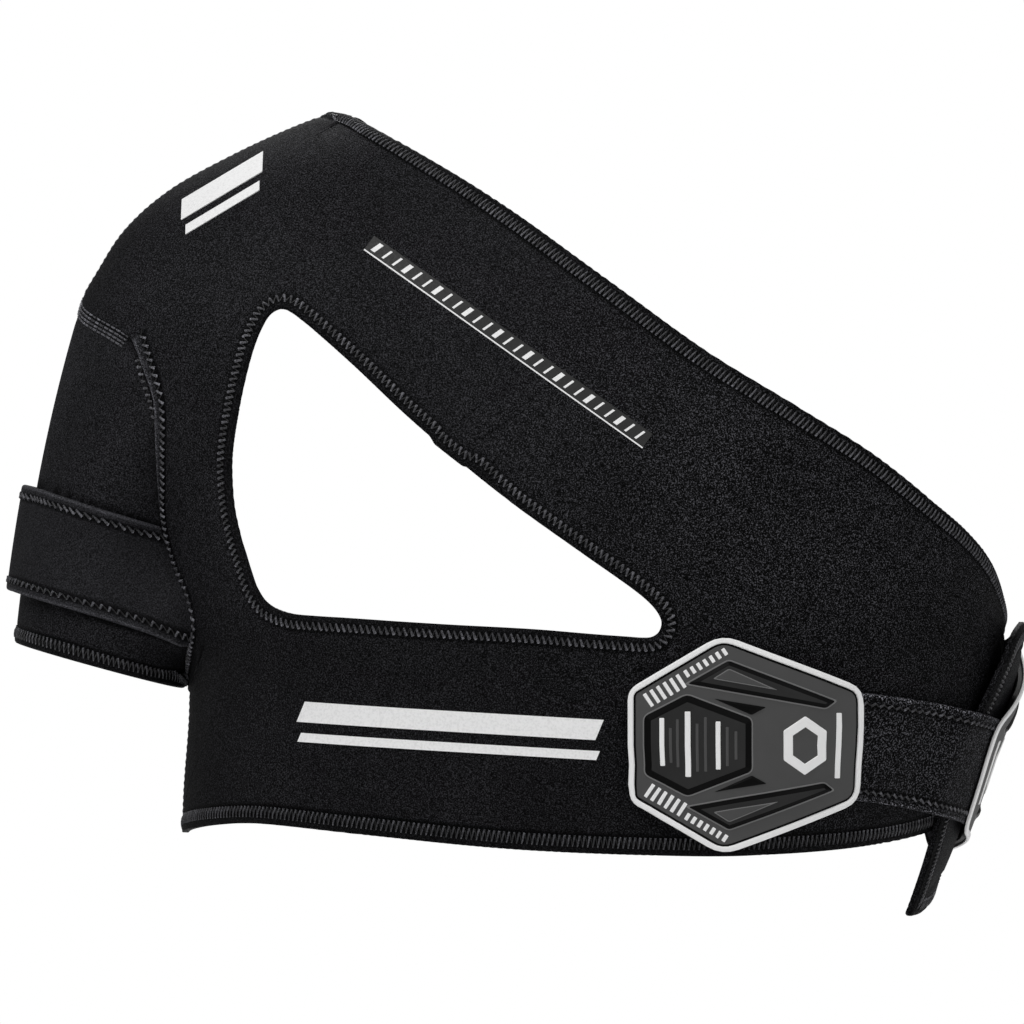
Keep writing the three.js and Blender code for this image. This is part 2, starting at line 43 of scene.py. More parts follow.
WALL = 3.0
GAP = 0.35
SEAM_GAP = 0.1
ROUND_RIGHT = 112.0
CHEST_CROWN = 0.14
STRAP_WIDTH = 50.0
STRAP_THICKNESS = 2.5
FLAP_GAP = 1.8
FLAP_LAP = (1.9, 2.6)
FLAP_FLARE = {"rise": 4.5, "from": 2.7, "to": 3.1, "ends_below": -285.0, "full_above": -228.0}
BACK_WINDOW = {"x": 117.0, "z": -170.0, "grow": 1.07}

# The worn body: height, left, right, half depth, width of the rounded left side.
BODY = np.array([
    (24, 52, 349, 8, 44), (18, 34, 349, 17, 52), (10, 13, 349, 30, 60), (-2, -13, 349, 45, 68),
    (-18, -42, 349, 60, 79), (-36, -63, 349, 72, 87), (-56, -76.5, 349, 83, 92), (-74, -85.5, 349, 91, 95),
    (-96, -83.5, 349, 98, 99), (-122, -74, 349, 105, 104), (-150, -63, 349, 111, 108),
    (-180, -54, 349, 115, 108), (-206, -47, 349, 117, 108), (-228, -42, 349, 118, 108),
    (-246, -35.2, 346.5, 118, 109), (-262, -33.9, 343, 117, 110), (-300, -36.5, 330.5, 115, 110),
    (-330, -37.5, 319, 112, 110), (-362, -38, 304, 108, 108),
], dtype=float)

# Sections across a panel: the window's rim (x, z), then the outer edge (x or girth, z).
NECK = [
    ((13, -76), {"girth": 0}, 18, True), ((15.5, -77.3), {"x": 42.5}, 15.8), ((18, -79), {"x": 50.5}, 11.5),
    ((26, -85.5), {"x": 64}, 3.5), ((45, -102.5), {"x": 110}, -25), ((72, -128), {"x": 159}, -60.5),
    ((110, -160), {"x": 207}, -95.5), ((150, -189), {"x": 252}, -123), ((165, -199.5), {"x": 285}, -143.5),
    ((174, -206), {"x": 312}, -164.5),
]
FRONT_TIP = [
    ((180, -211), {"x": 329}, -178.5), ((184, -215.5), {"x": 341}, -192.5),
    ((186, -219.5), {"girth": 2.93}, -211), ((186, -222.5), {"girth": 3.2}, -228),
    ((184.5, -225.5), {"girth": 3.3}, -268), ((181.5, -227.3), {"girth": 3.26}, -310, True),
    ((177.5, -227.6), {"girth": 2.84}, -316), ((171.5, -227.2), {"x": 290}, -323.5),
]
BACK_FLAP = [
    ((180, -211), {"girth": 2.61}, -186), ((184, -215), {"girth": 2.74}, -213),
    ((185.5, -218.5), {"girth": 2.84}, -230), ((186.2, -221), {"girth": 3.05}, -221.5),
    ((185.8, -223.4), {"girth": 3.22}, -231), ((184.6, -225.4), {"girth": 3.325}, -290),
    ((182.8, -226.8), {"girth": 3.23}, -357, True), ((181, -227.4), {"girth": 3.06}, -354),
    ((179, -227.7), {"girth": 2.94}, -348), ((177, -227.6), {"girth": 2.875}, -333),
    ((173, -227.3), {"girth": 2.855}, -316),
]
HEM = [
    ((155, -226), {"x": 231}, -328), ((127, -223.7), {"x": 185}, -328), ((88, -221.6), {"x": 117}, -325),
    ((44, -218.9), {"x": 48}, -318.5), ((24, -217.8), {"x": 1}, -314.3), ((15, -216.9), {"x": -23}, -315.8),
]
SIDE = [((7.1, -214.3), {"girth": 0}, -320.6, True), ((2.1, -210.5), {"girth": 0}, -280)]
ARMHOLE = [
    ((-1.4, -205), {"girth": 0}, -247, True), ((-2.6, -202), {"girth": 0.117}, -240.2),
    ((-3.6, -199), {"girth": 0.209}, -233.7), ((-4.9, -195), {"x": -31.6}, -223.5),
    ((-6.4, -190), {"x": -34.1}, -210.5), ((-8.9, -182), {"x": -40.9}, -195),
    ((-12.2, -166), {"x": -46.5}, -174.7), ((-12.9, -146), {"x": -48.3}, -150.5),
    ((-9.2, -122), {"x": -49.4}, -119.4), ((-4.5, -102), {"x": -55.9}, -99.4),
    ((-0.8, -90.5), {"x": -61.3}, -87.6),
]
RIDGE = [
    ((3.4, -81.5), {"girth": 0}, -68.8, True), ((6.4, -77.7), {"girth": 0}, -34),
    ((10, -75.8), {"girth": 0}, -4),
]

SLEEVE_HEM_LEFT = np.array((-116, 0, -231.5))
SLEEVE_HEM_RIGHT = np.array((-36.2, 0, -252.8))
SLEEVE_HEM_HALF_DEPTH = 53.0
ARM_TILT = math.radians(5.5)
SLEEVE_BOW = 0.52
ARM_STRAP = {
    "low": 22, "high": 70.5, "low_rise": 2, "high_rise": 3, "end_gap": 1.2, "back_share": 0.86,
    "ease": 0.5, "slack": 3.7, "slack_reach": 0.62, "end_ease": 0.9, "end_from": 0.5, "end_to": 0.8,
}
PATCH_STRAP_END = 55.2
FRONT_PATCH = {"x": 224.3, "z": -276.7}
BACK_PATCH = {"girth": 2.852, "z": -281.5, "tilt": math.radians(-10)}
SIDE_STRAP = {"tuck": 9, "climb_from": 2.5, "climb_to": 2.645}
ROUND_TRIP = 6.0
# The arm strap's sewn end: its share of the length, and how much nearer and thinner it is
SEWN_REACH, SEWN_DOWN, SEWN_THIN = 0.055, 0.9, 0.4

# Steps for slopes on the body and on the sleeve, and counts for finding places on them
GIRTH_STEP = 0.004
HEIGHT_STEP = 0.5
EDGE_STEP = 0.004
WALK_STEPS = 12
GIRTH_ROUNDS = 8
HALVINGS = 26

# Stitching
PITCH = 3.5
WINDOW_PITCH = 2.9
COLUMNS_PER_STITCH = 3
HEM_ROWS = np.array((0, 0.35, 1.0, 1.9, 2.8, 4.0, 5.4, 6.4, 7.4, 8.2, 9.0, 10.6))
SEAM_ROWS = np.array((0, 0.5, 1.3, 2.2, 3.2, 4.2, 5.2, 6.4))
HEM_NEEDLES = (8.1, 3.0)
WINDOW_NEEDLES = (6.2, 2.8)
HEM_STITCH_COLUMNS = 2
ARM_STRAP_NEEDLES = (6.2, 3.8)
SIDE_STRAP_NEEDLES = (5.6, 4.0)
THREAD_RADIUS = 0.52
HEM_THREAD_RADIUS = 0.41
SEAM_THREAD_RADIUS = 0.3
THREAD_SIDES = 6
THREAD_SPANS = 4
ALONG = np.linspace(0, 1, THREAD_SPANS + 1)
ARCH = np.sin(math.pi * ALONG)
# How bright the painted highlights on the thread are: on straps and the window, on the panels' hems, on the
# sleeve's hem, at the armholes
PLAIN_GLOW, HEM_GLOW, SLEEVE_GLOW, ARM_GLOW = 0.7, 0.72, 0.5, 1.0
# A zigzag's full leg: its share of a stitch, its width and lift in radii, and the painted highlight along it
LEG_SHARE, LEG_WIDTH, LEG_TAPER, LEG_LIFT, LEG_ARCH = 0.45, 1.5, 0.6, 0.3, 0.5
LIGHT_START, LIGHT_FALL, LIGHT_CURVE = 2.2, 3.3, 2.3
# Its painted glints from stitch to stitch, and the sunk leg, which is painted dark
LIGHT_LEAST, LIGHT_SPREAD = 0.6, 1.3
SUNK_WIDTH, SUNK_DEPTH, SUNK_LIGHT = 0.75, 0.2, 0.15
# A single stitch: where it starts, its length, its arch and depth in radii, and its painted light, which
# varies from stitch to stitch
SINGLE_FROM, SINGLE_LENGTH, SINGLE_ARCH, SINGLE_DEPTH = 0.12, 0.76, 1.1, 0.4
SINGLE_LEAST, SINGLE_SPREAD = 0.8, 2.2
# The zigzag across a flat seam: its arch and depth in radii, and its painted light
SEAM_ARCH, SEAM_DEPTH, SEAM_LIGHT = 0.6, 0.4, 0.5


def smooth(value, low, high):
    t = np.clip((value - low) / (high - low), 0, 1)
    return t * t * (3 - 2 * t)


def bell(value, centre, width):
    return np.exp(-((value - centre) / width) ** 2)


def unit(v):
    return v / np.maximum(np.linalg.norm(v, axis=-1, keepdims=True), 1e-12)


def dot(a, b):
    return (a * b).sum(axis=-1)


def raised(points, normals, height):
    return points + normals * height[..., None]


def hermite(t, a, slope_a, b, slope_b):
    bend = 2 * (a - b) + slope_a + slope_b
    return a + t * (slope_a + t * (3 * (b - a) - 2 * slope_a - slope_b + t * bend))


def body_column(index):
    heights, values = BODY[:, 0], BODY[:, index]
    rows = np.arange(len(BODY))
    before, after = np.maximum(rows - 1, 0), np.minimum(rows + 1, len(BODY) - 1)
    slopes = (values[after] - values[before]) / (heights[after] - heights[before])

    def at(z):
        above = (heights[:, None] >= np.ravel(z)).sum(axis=0).reshape(np.shape(z))
        i = np.clip(above - 1, 0, len(BODY) - 2)
        j = i + 1
        span = heights[j] - heights[i]
        return hermite((z - heights[i]) / span, values[i], slopes[i] * span, values[j], slopes[j] * span)
    return at


left, right, depth, round_left = (body_column(i) for i in (1, 2, 3, 4))


def flat_front(z):
    """Where the flat front starts and ends at a height, and how wide the rounded left side is."""
    rounded_left = round_left(z)
    return left(z) + rounded_left, right(z) - ROUND_RIGHT, rounded_left


def crown(girth):
    return 1 - CHEST_CROWN * np.cos(girth * math.pi / 3) ** 2


def body_point(girth, z):
    """A point of the worn skin: girth 0 is the left side, 1 to 2 the front, 3 the right side."""
    girth, z = np.broadcast_arrays(np.asarray(girth, float), np.asarray(z, float))
    front_left, front_right, rounded_left = flat_front(z)
    y = -depth(z) * crown(girth)
    turn_left = girth * math.pi / 2
    turn_right = (girth - 2) * math.pi / 2
    x = np.where(girth < 1, front_left - rounded_left * np.cos(turn_left),
                 np.where(girth < 2, front_left + (front_right - front_left) * (girth - 1),
                          front_right + ROUND_RIGHT * np.sin(turn_right)))
    y = np.where(girth < 1, y * np.sin(turn_left), np.where(girth < 2, y, y * np.cos(turn_right)))
    return np.stack([x, y, z], axis=-1)


def body_girth(points):
    x, y, z = points[..., 0], points[..., 1], points[..., 2]
    front_left, front_right, rounded_left = flat_front(z)
    girth = np.where(x < front_left, 0.5, 2.5)
    for _ in range(GIRTH_ROUNDS):
        forward = -y / (depth(z) * crown(girth))
        turn = np.where(x < front_left, np.arctan2(forward, (front_left - x) / rounded_left),
                        math.pi + np.arctan2((x - front_right) / ROUND_RIGHT, forward))
        girth = turn * 2 / math.pi
    flat = (x >= front_left) & (x < front_right)
    return np.where(flat, 1 + (x - front_left) / (front_right - front_left), girth)


def girth_at_x(x, z):
    x, z = np.broadcast_arrays(np.asarray(x, float), np.asarray(z, float))
    front_left, front_right, rounded_left = flat_front(z)
    on_left = np.arccos(np.clip((front_left - x) / rounded_left, -1, 1)) * 2 / math.pi
    on_front = 1 + (x - front_left) / (front_right - front_left)
    on_right = 2 + np.arcsin(np.clip((x - front_right) / ROUND_RIGHT, -1, 1)) * 2 / math.pi
    return np.where(x < front_left, on_left, np.where(x < front_right, on_front, on_right))


def round_tangent(girth, z):
    return (body_point(girth + GIRTH_STEP, z) - body_point(girth - GIRTH_STEP, z)) / (2 * GIRTH_STEP)


def body_frame(girth, z):
    """The skin's two tangents (per unit of girth and per millimetre of height) and its outward normal."""
    round_way = round_tangent(girth, z)
    up_way = (body_point(girth, z + HEIGHT_STEP) - body_point(girth, z - HEIGHT_STEP)) / (2 * HEIGHT_STEP)
    return round_way, up_way, unit(np.cross(round_way, up_way))


def walk_girth(girth, z, distance):
    """The girth reached from a start by walking a distance round the skin at one height."""
    at = np.broadcast_to(np.asarray(girth, float), np.broadcast(girth, z, distance).shape).copy()
    for _ in range(WALK_STEPS):
        at = at + distance / WALK_STEPS / np.linalg.norm(round_tangent(at, z), axis=-1)
    return at


def flap_rise(girth, z):
    """How far the back flap stands off the skin: over the front tip, with a flare at its top."""
    lapped = (WALL + FLAP_GAP) * smooth(girth, *FLAP_LAP)
    flare = smooth(girth, FLAP_FLARE["from"], FLAP_FLARE["to"])
    flare = flare * smooth(z, FLAP_FLARE["ends_below"], FLAP_FLARE["full_above"])
    return lapped + FLAP_FLARE["rise"] * flare


def no_rise(girth, z):
    return np.zeros(np.broadcast(girth, z).shape)


def mirrored(points):
    return points * np.array((1, -1, 1))


def loop_through(points, corners):
    """A closed curve through points, sharp at the corners, as a function of place (0 to the count)."""
    nxt = np.roll(points, -1, axis=0)
    prev = np.roll(points, 1, axis=0)
    chord = np.linalg.norm(nxt - points, axis=1)
    before = np.roll(chord, 1)
    through = (nxt - prev) / (chord + before)[:, None]
    ahead = (nxt - points) / chord[:, None]
    sharp = np.asarray(corners)[:, None]
    leave = np.where(sharp, ahead, through)
    arrive = np.where(sharp, np.roll(ahead, 1, axis=0), through)

    def at(place):
        i = np.floor(place).astype(int) % len(points)
        j = (i + 1) % len(points)
        t = (place - np.floor(place))[..., None]
        span = chord[i][..., None]
        return hermite(t, points[i], leave[i] * span, points[j], arrive[j] * span)
    return at


class Cut:
    """A panel's table: its outer edge and its window as curves on the body."""

    def __init__(self, rows, grow):
        edge, window = [], []
        for row in rows:
            (window_x, window_z), place, z = row[0], row[1], row[2]
            girth = place["girth"] if "girth" in place else girth_at_x(place["x"], z)
            edge.append(body_point(girth, z))
            x = BACK_WINDOW["x"] + grow * (window_x - BACK_WINDOW["x"])
            window_z = BACK_WINDOW["z"] + grow * (window_z - BACK_WINDOW["z"])
            window.append(body_point(girth_at_x(x, window_z), window_z))
        self.corners = [len(row) > 3 for row in rows]
        self.count = len(rows)
        self.arm_start = rows.index(ARMHOLE[0])
        self.edge = loop_through(np.array(edge), self.corners)
        self.window = loop_through(np.array(window), [False] * len(rows))


SHARED = HEM + SIDE + ARMHOLE + RIDGE
front_cut = Cut(NECK + FRONT_TIP + SHARED, 1.0)
back_cut = Cut(NECK + BACK_FLAP + SHARED, BACK_WINDOW["grow"])


# Mesh helpers
def placed(name, data):
    """An object of the scene with its data."""
    obj = bpy.data.objects.new(name, data)
    bpy.context.scene.collection.objects.link(obj)
    return obj


def make(name, vertices, faces, materials, face_material=None, sharp=None):
    """A mesh object in metres. faces is a list of index arrays, each with one row per face.
    A fourth number at a vertex is its shade: the painted light and shade that its cloth's or thread's colour
    is multiplied by."""
    mesh = bpy.data.meshes.new(name)
    rows = [row for f in faces for row in np.asarray(f).tolist()]
    mesh.from_pydata((vertices[:, :3] * MM).tolist(), [], rows)
    if face_material is not None:
        mesh.polygons.foreach_set("material_index", np.asarray(face_material, np.int32))
    mesh.validate()
    for material in materials:
        mesh.materials.append(material)
    mesh.shade_smooth()
    if sharp is not None:
        mesh.set_sharp_from_angle(angle=sharp)
    if vertices.shape[1] == 4:
        values = mesh.attributes.new("shade", "FLOAT", "POINT").data
        values.foreach_set("value", vertices[:, 3].astype(np.float32))
    obj = placed(name, mesh)
    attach(obj, "root")
    return obj


def facing_out(vertices, faces):
    """The same faces, turned so that the closed mesh has its outside out."""
    volume = 0.0
    for f in faces:
        f = np.asarray(f)
        for k in range(1, f.shape[1] - 1):
            a, b, c = (vertices[f[:, i], :3] for i in (0, k, k + 1))
            volume += dot(a, np.cross(b, c)).sum()
    return faces if volume > 0 else [np.asarray(f)[:, ::-1] for f in faces]


def grid_faces(ids):
    """The quads between neighbours in the last two directions of an array of indices."""
    a, b, c, d = ids[..., :-1, :-1], ids[..., 1:, :-1], ids[..., 1:, 1:], ids[..., :-1, 1:]
    return np.stack([a, b, c, d], axis=-1).reshape(-1, 4)


def thick(outer, inner, closed):
    """A closed solid from two grids of points (columns, rows, 3). Closed columns join end to end."""
    columns, rows = outer.shape[:2]
    vertices = np.concatenate([outer.reshape(columns * rows, -1), inner.reshape(columns * rows, -1)])
    top = np.arange(columns * rows).reshape(columns, rows)
    if closed:
        top = np.vstack([top, top[:1]])
    low = top + columns * rows
    faces = [grid_faces(top), grid_faces(low)[:, ::-1]]
    for edge in (0, rows - 1):
        band = grid_faces(np.stack([top[:, edge], low[:, edge]], axis=1))
        faces.append(band[:, ::-1] if edge == 0 else band)
    if not closed:
        for end in (0, columns - 1):
            band = grid_faces(np.stack([top[end], low[end]], axis=1))
            faces.append(band if end == 0 else band[:, ::-1])
    return vertices, facing_out(vertices, faces)


def shaded(points, shade):
    return np.concatenate([points, np.broadcast_to(shade, points.shape[:-1])[..., None]], axis=-1)


def tubes(paths, normals, radius, shade):
    """Closed round threads along paths (threads, points, 3). Radius and shade, the painted light on the
    thread, are given along a path.
    """
    count, points = paths.shape[:2]
    along = unit(np.gradient(paths, axis=1))
    side = unit(np.cross(along, normals))
    up = np.cross(side, along)
    angle = np.arange(THREAD_SIDES) * 2 * math.pi / THREAD_SIDES
    ring = (side[:, :, None] * np.cos(angle)[:, None] + up[:, :, None] * np.sin(angle)[:, None])
    ring = ring * np.broadcast_to(radius, (points,))[:, None, None]
    shade = np.broadcast_to(shade, (count, points))[:, :, None]
    vertices = shaded(paths[:, :, None] + ring, shade).reshape(-1, 4)
    ids = np.arange(count * points * THREAD_SIDES).reshape(count, points, THREAD_SIDES)
    around = np.concatenate([ids, ids[:, :, :1]], axis=2)
    return vertices, [grid_faces(around), ids[:, 0, ::-1], ids[:, -1]]


def join(meshes):
    """Several (vertices, faces) as one."""
    vertices, faces, base = [], [], 0
    for v, f in meshes:
        vertices.append(v)
        faces += [np.asarray(x) + base for x in f]
        base += len(v)
    return np.concatenate(vertices), faces


def sampled(grid, column, row, closed):
    """Values of a (columns, rows, 3) grid at fractional columns and rows."""
    columns, rows = grid.shape[:2]
    c0 = np.floor(column).astype(int)
    r0 = np.clip(np.floor(row).astype(int), 0, rows - 2)
    tc, tr = (column - c0)[..., None], (row - r0)[..., None]
    if closed:
        ca, cb = c0 % columns, (c0 + 1) % columns
    else:
        ca, cb = np.clip(c0, 0, columns - 1), np.clip(c0 + 1, 0, columns - 1)
    near = grid[ca, r0] * (1 - tc) + grid[cb, r0] * tc
    far = grid[ca, r0 + 1] * (1 - tc) + grid[cb, r0 + 1] * tc
    return near * (1 - tr) + far * tr


def uneven(count):
    """A number from 0 to 1 for each stitch, which looks random and is the same each time."""
    return np.modf(np.abs(np.sin(np.arange(count) * 12.99) * 437.58))[0][:, None]


def zigzag(grid, normals, starts, ends, rows, closed, glow=PLAIN_GLOW, radius=THREAD_RADIUS):
    """A zigzag thread over a grid, between two fractional rows. From each start column a full leg that
    stands up and carries a painted highlight runs out, and a sunk one, painted dark, runs back in to the end
    column."""
    inner, outer = (np.broadcast_to(row, starts.shape)[:, None] for row in rows)
    middle = starts + LEG_SHARE * (ends - starts)
    # Painted light on the full leg: glints that vary from stitch to stitch, brightest at its start.
    light = glow * (LIGHT_LEAST + LIGHT_SPREAD * uneven(len(starts)))
    light = light * (LIGHT_START - LIGHT_FALL * ALONG + LIGHT_CURVE * ALONG ** 2)
    width = radius * (LEG_WIDTH - LEG_TAPER * ALONG)
    sunk = radius * SUNK_WIDTH
    legs = (
        (starts, middle, inner, outer, width, LEG_LIFT + LEG_ARCH * ARCH, light),
        (middle, ends, outer, inner, sunk, -SUNK_DEPTH * ARCH, SUNK_LIGHT),
    )
    pieces = []
    for first, last, row_first, row_last, width, lift, shade in legs:
        column = first[:, None] + (last - first)[:, None] * ALONG
        row = row_first + (row_last - row_first) * ALONG
        normal = unit(sampled(normals, column, row, closed))
        path = raised(sampled(grid, column, row, closed), normal, radius * lift)
        pieces.append(tubes(path, normal, width, shade))
    return join(pieces)


def running(grid, normals, columns, rows, closed, radius=THREAD_RADIUS):
    """A row of single stitches through fractional columns and rows of a grid, each a short arch with painted
    glints.
    """
    inside = SINGLE_FROM + SINGLE_LENGTH * ALONG
    column = columns[:-1, None] + np.diff(columns)[:, None] * inside
    row = rows[:-1, None] + np.diff(rows)[:, None] * inside
    normal = unit(sampled(normals, column, row, closed))
    lift = radius * (SINGLE_ARCH * ARCH - SINGLE_DEPTH)
    path = raised(sampled(grid, column, row, closed), normal, lift)
    return tubes(path, normal, radius, SINGLE_LEAST + SINGLE_SPREAD * uneven(len(path)))


# Materials
class Nodes:
    """A short way to write a material's nodes."""

    def __init__(self, name):
        self.material = bpy.data.materials.new(name)
        self.material.use_nodes = True
        self.tree = self.material.node_tree
        self.shader = self.tree.nodes["Principled BSDF"]
        self.coords = self.tree.nodes.new("ShaderNodeTexCoord").outputs["Object"]

    def put(self, value, socket):
        """Link an output to a socket, or set the socket's own value."""
        if hasattr(value, "is_output"):
            self.tree.links.new(value, socket)
        else:
            socket.default_value = value

    def add(self, kind, inputs, **settings):
        """A node with its settings, and its inputs by name or number."""
        node = self.tree.nodes.new(kind)
        for key, value in settings.items():
            setattr(node, key, value)
        for key, value in inputs.items():
            self.put(value, node.inputs[key])
        return node

    def noise(self, scale, detail=2.0, roughness=0.55):
        inputs = {"Vector": self.coords, "Scale": scale, "Detail": detail, "Roughness": roughness}
        return self.add("ShaderNodeTexNoise", inputs).outputs["Fac"]

    def shade(self):
        return self.add("ShaderNodeAttribute", {}, attribute_name="shade").outputs["Fac"]

    def distance(self, point):
        inputs = {0: self.coords, 1: point}
        return self.add("ShaderNodeVectorMath", inputs, operation="DISTANCE").outputs["Value"]

    def ramp(self, source, stops):
        node = self.add("ShaderNodeValToRGB", {"Fac": source})
        elements = node.color_ramp.elements
        while len(elements) < len(stops):
            elements.new(0.5)
        for element, (place, value) in zip(elements, stops):
            element.position = place
            element.color = (*value, 1) if hasattr(value, "__len__") else (value, value, value, 1)
        return node.outputs["Color"]

    def mix(self, a, b, factor, blend="MIX"):
        inputs = {6: a, 7: b, 0: factor}
        return self.add("ShaderNodeMix", inputs, data_type="RGBA", blend_type=blend).outputs[2]

    def bump(self, height, strength, distance, normal=None):
        inputs = {"Height": height, "Strength": strength, "Distance": distance}
        if normal is not None:
            inputs["Normal"] = normal
        return self.add("ShaderNodeBump", inputs).outputs["Normal"]

    def finished(self, colour, roughness, specular, normal=None):
        """The material, with its shader's inputs set."""
        inputs = {"Base Color": colour, "Roughness": roughness, "Specular IOR Level": specular}
        if normal is not None:
            inputs["Normal"] = normal
        for key, value in inputs.items():
            self.put(value, self.shader.inputs[key])
        return self.material


# Where the panels' cloth has a painted highlight of stronger glints, in metres
HIGHLIGHT_PLACE = (0.28, -0.1, -0.18)


def grey(value):
    return (value, value, value * 1.12)


def neoprene(name, tones, grain, rough, highlight):
    """Cloth-faced neoprene: a fine jersey grain with bright specks, and a painted highlight of stronger
    glints round one place, for the cloths that have one.
    """
    n = Nodes(name)
    fine = n.noise(grain, 2.0, 0.62)
    broad = n.noise(16.0, 3.0)
    dark, mean, speck = tones
    plain = n.ramp(fine, [(0.34, grey(dark)), (0.5, grey(mean)), (0.68, grey(speck))])
    if highlight:
        stops = [(0.4, grey(dark * 0.5)), (0.53, grey(mean * 0.6)), (0.66, grey(speck * 2.4))]
        place = n.ramp(n.distance(HIGHLIGHT_PLACE), [(0.07, 1.0), (0.19, 0.0)])
        plain = n.mix(plain, n.ramp(fine, stops), place)
    base = n.mix(plain, n.ramp(broad, [(0.3, 0.82), (0.7, 1.18)]), 1.0, "MULTIPLY")
    # The shade attribute multiplies painted light and shade into the colour.
    colour = n.mix(base, n.shade(), 1.0, "MULTIPLY")
    roughness = n.ramp(fine, [(0.35, rough), (0.7, rough - 0.2)])
    return n.finished(colour, roughness, 0.045, n.bump(fine, 0.6, 0.0005, n.bump(broad, 0.1, 0.002)))


def thread_material():
    n = Nodes("thread")
    twist = n.noise(1700.0, 1.0)
    plain = n.ramp(twist, [(0.36, grey(0.012)), (0.66, grey(0.09))])
    # The shade attribute multiplies painted highlights and shade into the thread's colour.
    colour = n.mix(plain, n.shade(), 1.0, "MULTIPLY")
    return n.finished(colour, n.ramp(twist, [(0.3, 0.55), (0.7, 0.35)]), 0.35, n.bump(twist, 0.5, 0.0002))


def rubber(name, value, variation, rough, specular):
    n = Nodes(name)
    fine = n.noise(2200.0, 2.0)
    broad = n.noise(45.0, 3.0)
    colour = n.ramp(broad, [(0.3, value * (1 - variation)), (0.7, value * (1 + variation))])
    roughness = n.ramp(fine, [(0.3, rough + 0.06), (0.7, rough - 0.06)])
    return n.finished(colour, roughness, specular, n.bump(fine, 0.12, 0.0002))


def print_material(name, value):
    """Printed film on the cloth, which shows the grain below it."""
    n = Nodes(name)
    fine = n.noise(850.0, 2.0, 0.6)
    colour = n.ramp(fine, [(0.3, value * 0.88), (0.55, value)])
    return n.finished(colour, n.ramp(fine, [(0.3, 0.65), (0.7, 0.5)]), 0.3, n.bump(fine, 0.2, 0.0003))


def floor_material():
    n = Nodes("floor_paint")
    broad = n.noise(1.5, 3.0)
    colour = n.ramp(broad, [(0.3, 0.82), (0.7, 0.86)])
    return n.finished(colour, n.ramp(broad, [(0.3, 0.75), (0.7, 0.85)]), 0.2)


# The cloths' tones differ partly as painted light and shade: the sleeve's cloth is lighter and the side
# strap's darker than the panels'.
CLOTH = neoprene("panel_neoprene", (0.0003, 0.0075, 0.05), 1600.0, 0.74, True)
SLEEVE_CLOTH = neoprene("sleeve_neoprene", (0.001, 0.0125, 0.05), 1600.0, 0.76, False)
SIDE_CLOTH = neoprene("side_strap_cloth", (0.0001, 0.0025, 0.052), 1300.0, 0.74, True)
STRAP_CLOTH = neoprene("strap_cloth", (0.004, 0.0135, 0.034), 1700.0, 0.74, False)
THREAD = thread_material()
BLACK_RUBBER = rubber("black_rubber", 0.0015, 0.2, 0.45, 0.08)
DARK_RUBBER = rubber("dark_rubber", 0.024, 0.12, 0.5, 0.15)
GREY_RUBBER = rubber("grey_rubber", 0.07, 0.06, 0.55, 0.25)
WHITE_RUBBER = rubber("white_rubber", 0.92, 0.02, 0.45, 0.3)
# A light rubber for the lips round the patch's forms, a painted highlight along their edges
LIP_HIGHLIGHT_RUBBER = rubber("lip_highlight_rubber", 0.17, 0.06, 0.5, 0.25)
WHITE_PRINT = print_material("white_print", 0.93)
DARK_PRINT = print_material("dark_print", 0.02)


# Edge and hem profiles: heights over the cloth's face by the distance from an edge.
EDGE_RADIUS, SEAM_RADIUS, STRAP_RADIUS = 1.3, 1.0, 1.1
# How far the outer face drops at an edge
HEM_DROP, ARM_DROP, SEAM_DROP, SLEEVE_SEAM_DROP = 1.25, 1.1, 0.4, 0.5
# The inner face is rounded by this share of the outer one's drop.
INNER_SHARE = 0.9
# The hem's swell and the groove past it, in a scale that puts the needle line at PUFF_AT
ARM_PUFF, STRAP_PUFF, STRAP_PUFF_NEEDLE = 0.9, 0.6, 5.0
PUFF_NEEDLE, PUFF_AT, PUFF_FROM, PUFF_WIDTH, PUFF_POWER, PUFF_HEIGHT = 7.0, 6.0, 0.2, 5.9, 0.7, 0.5
GROOVE_AT, GROOVE_WIDTH, GROOVE_DEPTH = 6.5, 0.75, 0.5
# How much painted shade darkens the cloth between the threads, and in the groove
BETWEEN_DARK = GROOVE_DARK = 0.8


def rounding(distance, radius):
    t = np.clip(1 - distance / radius, 0, 1)
    return 1 - np.sqrt(1 - t * t)


def hem_puff(distance, needle=PUFF_NEEDLE):
    """A hem that swells between its edge and its inner needle line, with a groove just past that line."""
    d = distance * PUFF_AT / needle
    band = np.sin(np.clip((d - PUFF_FROM) / PUFF_WIDTH, 0, 1) * math.pi) ** PUFF_POWER
    return PUFF_HEIGHT * band - GROOVE_DEPTH * bell(d, GROOVE_AT, GROOVE_WIDTH)


def stitch_shade(distance, needles, strip, line, fold_width=0.6):
    """Painted light and shade on the cloth by a stitched edge: a painted highlight along the fold, the strip
    out to the stitches painted lighter or darker, painted shade between the threads, and a painted dark
    groove inside them."""
    inner, outer = needles
    outside = 1 - smooth(distance, np.maximum(outer - 1.1, 0.6), np.maximum(outer - 0.4, 1.1))
    fold = bell(distance, 0.2 + fold_width, fold_width)
    band = smooth(distance, outer - 0.7, outer + 0.2) * (1 - smooth(distance, inner, inner + 0.7))
    groove = bell(distance, inner + 0.8, 0.6) * (1 - band)
    return 1 + (strip - 1) * outside + (line - 1) * fold - BETWEEN_DARK * band - GROOVE_DARK * groove


def row_at(distance, rows=HEM_ROWS):
    return np.interp(distance, rows, np.arange(len(rows)))


def nearest(points, curve):
    tree = kdtree.KDTree(len(curve))
    for i, p in enumerate(curve):
        tree.insert(Vector(p), i)
    tree.balance()
    return np.array([tree.find(Vector(p))[2] for p in points.reshape(-1, 3)]).reshape(points.shape[:-1])


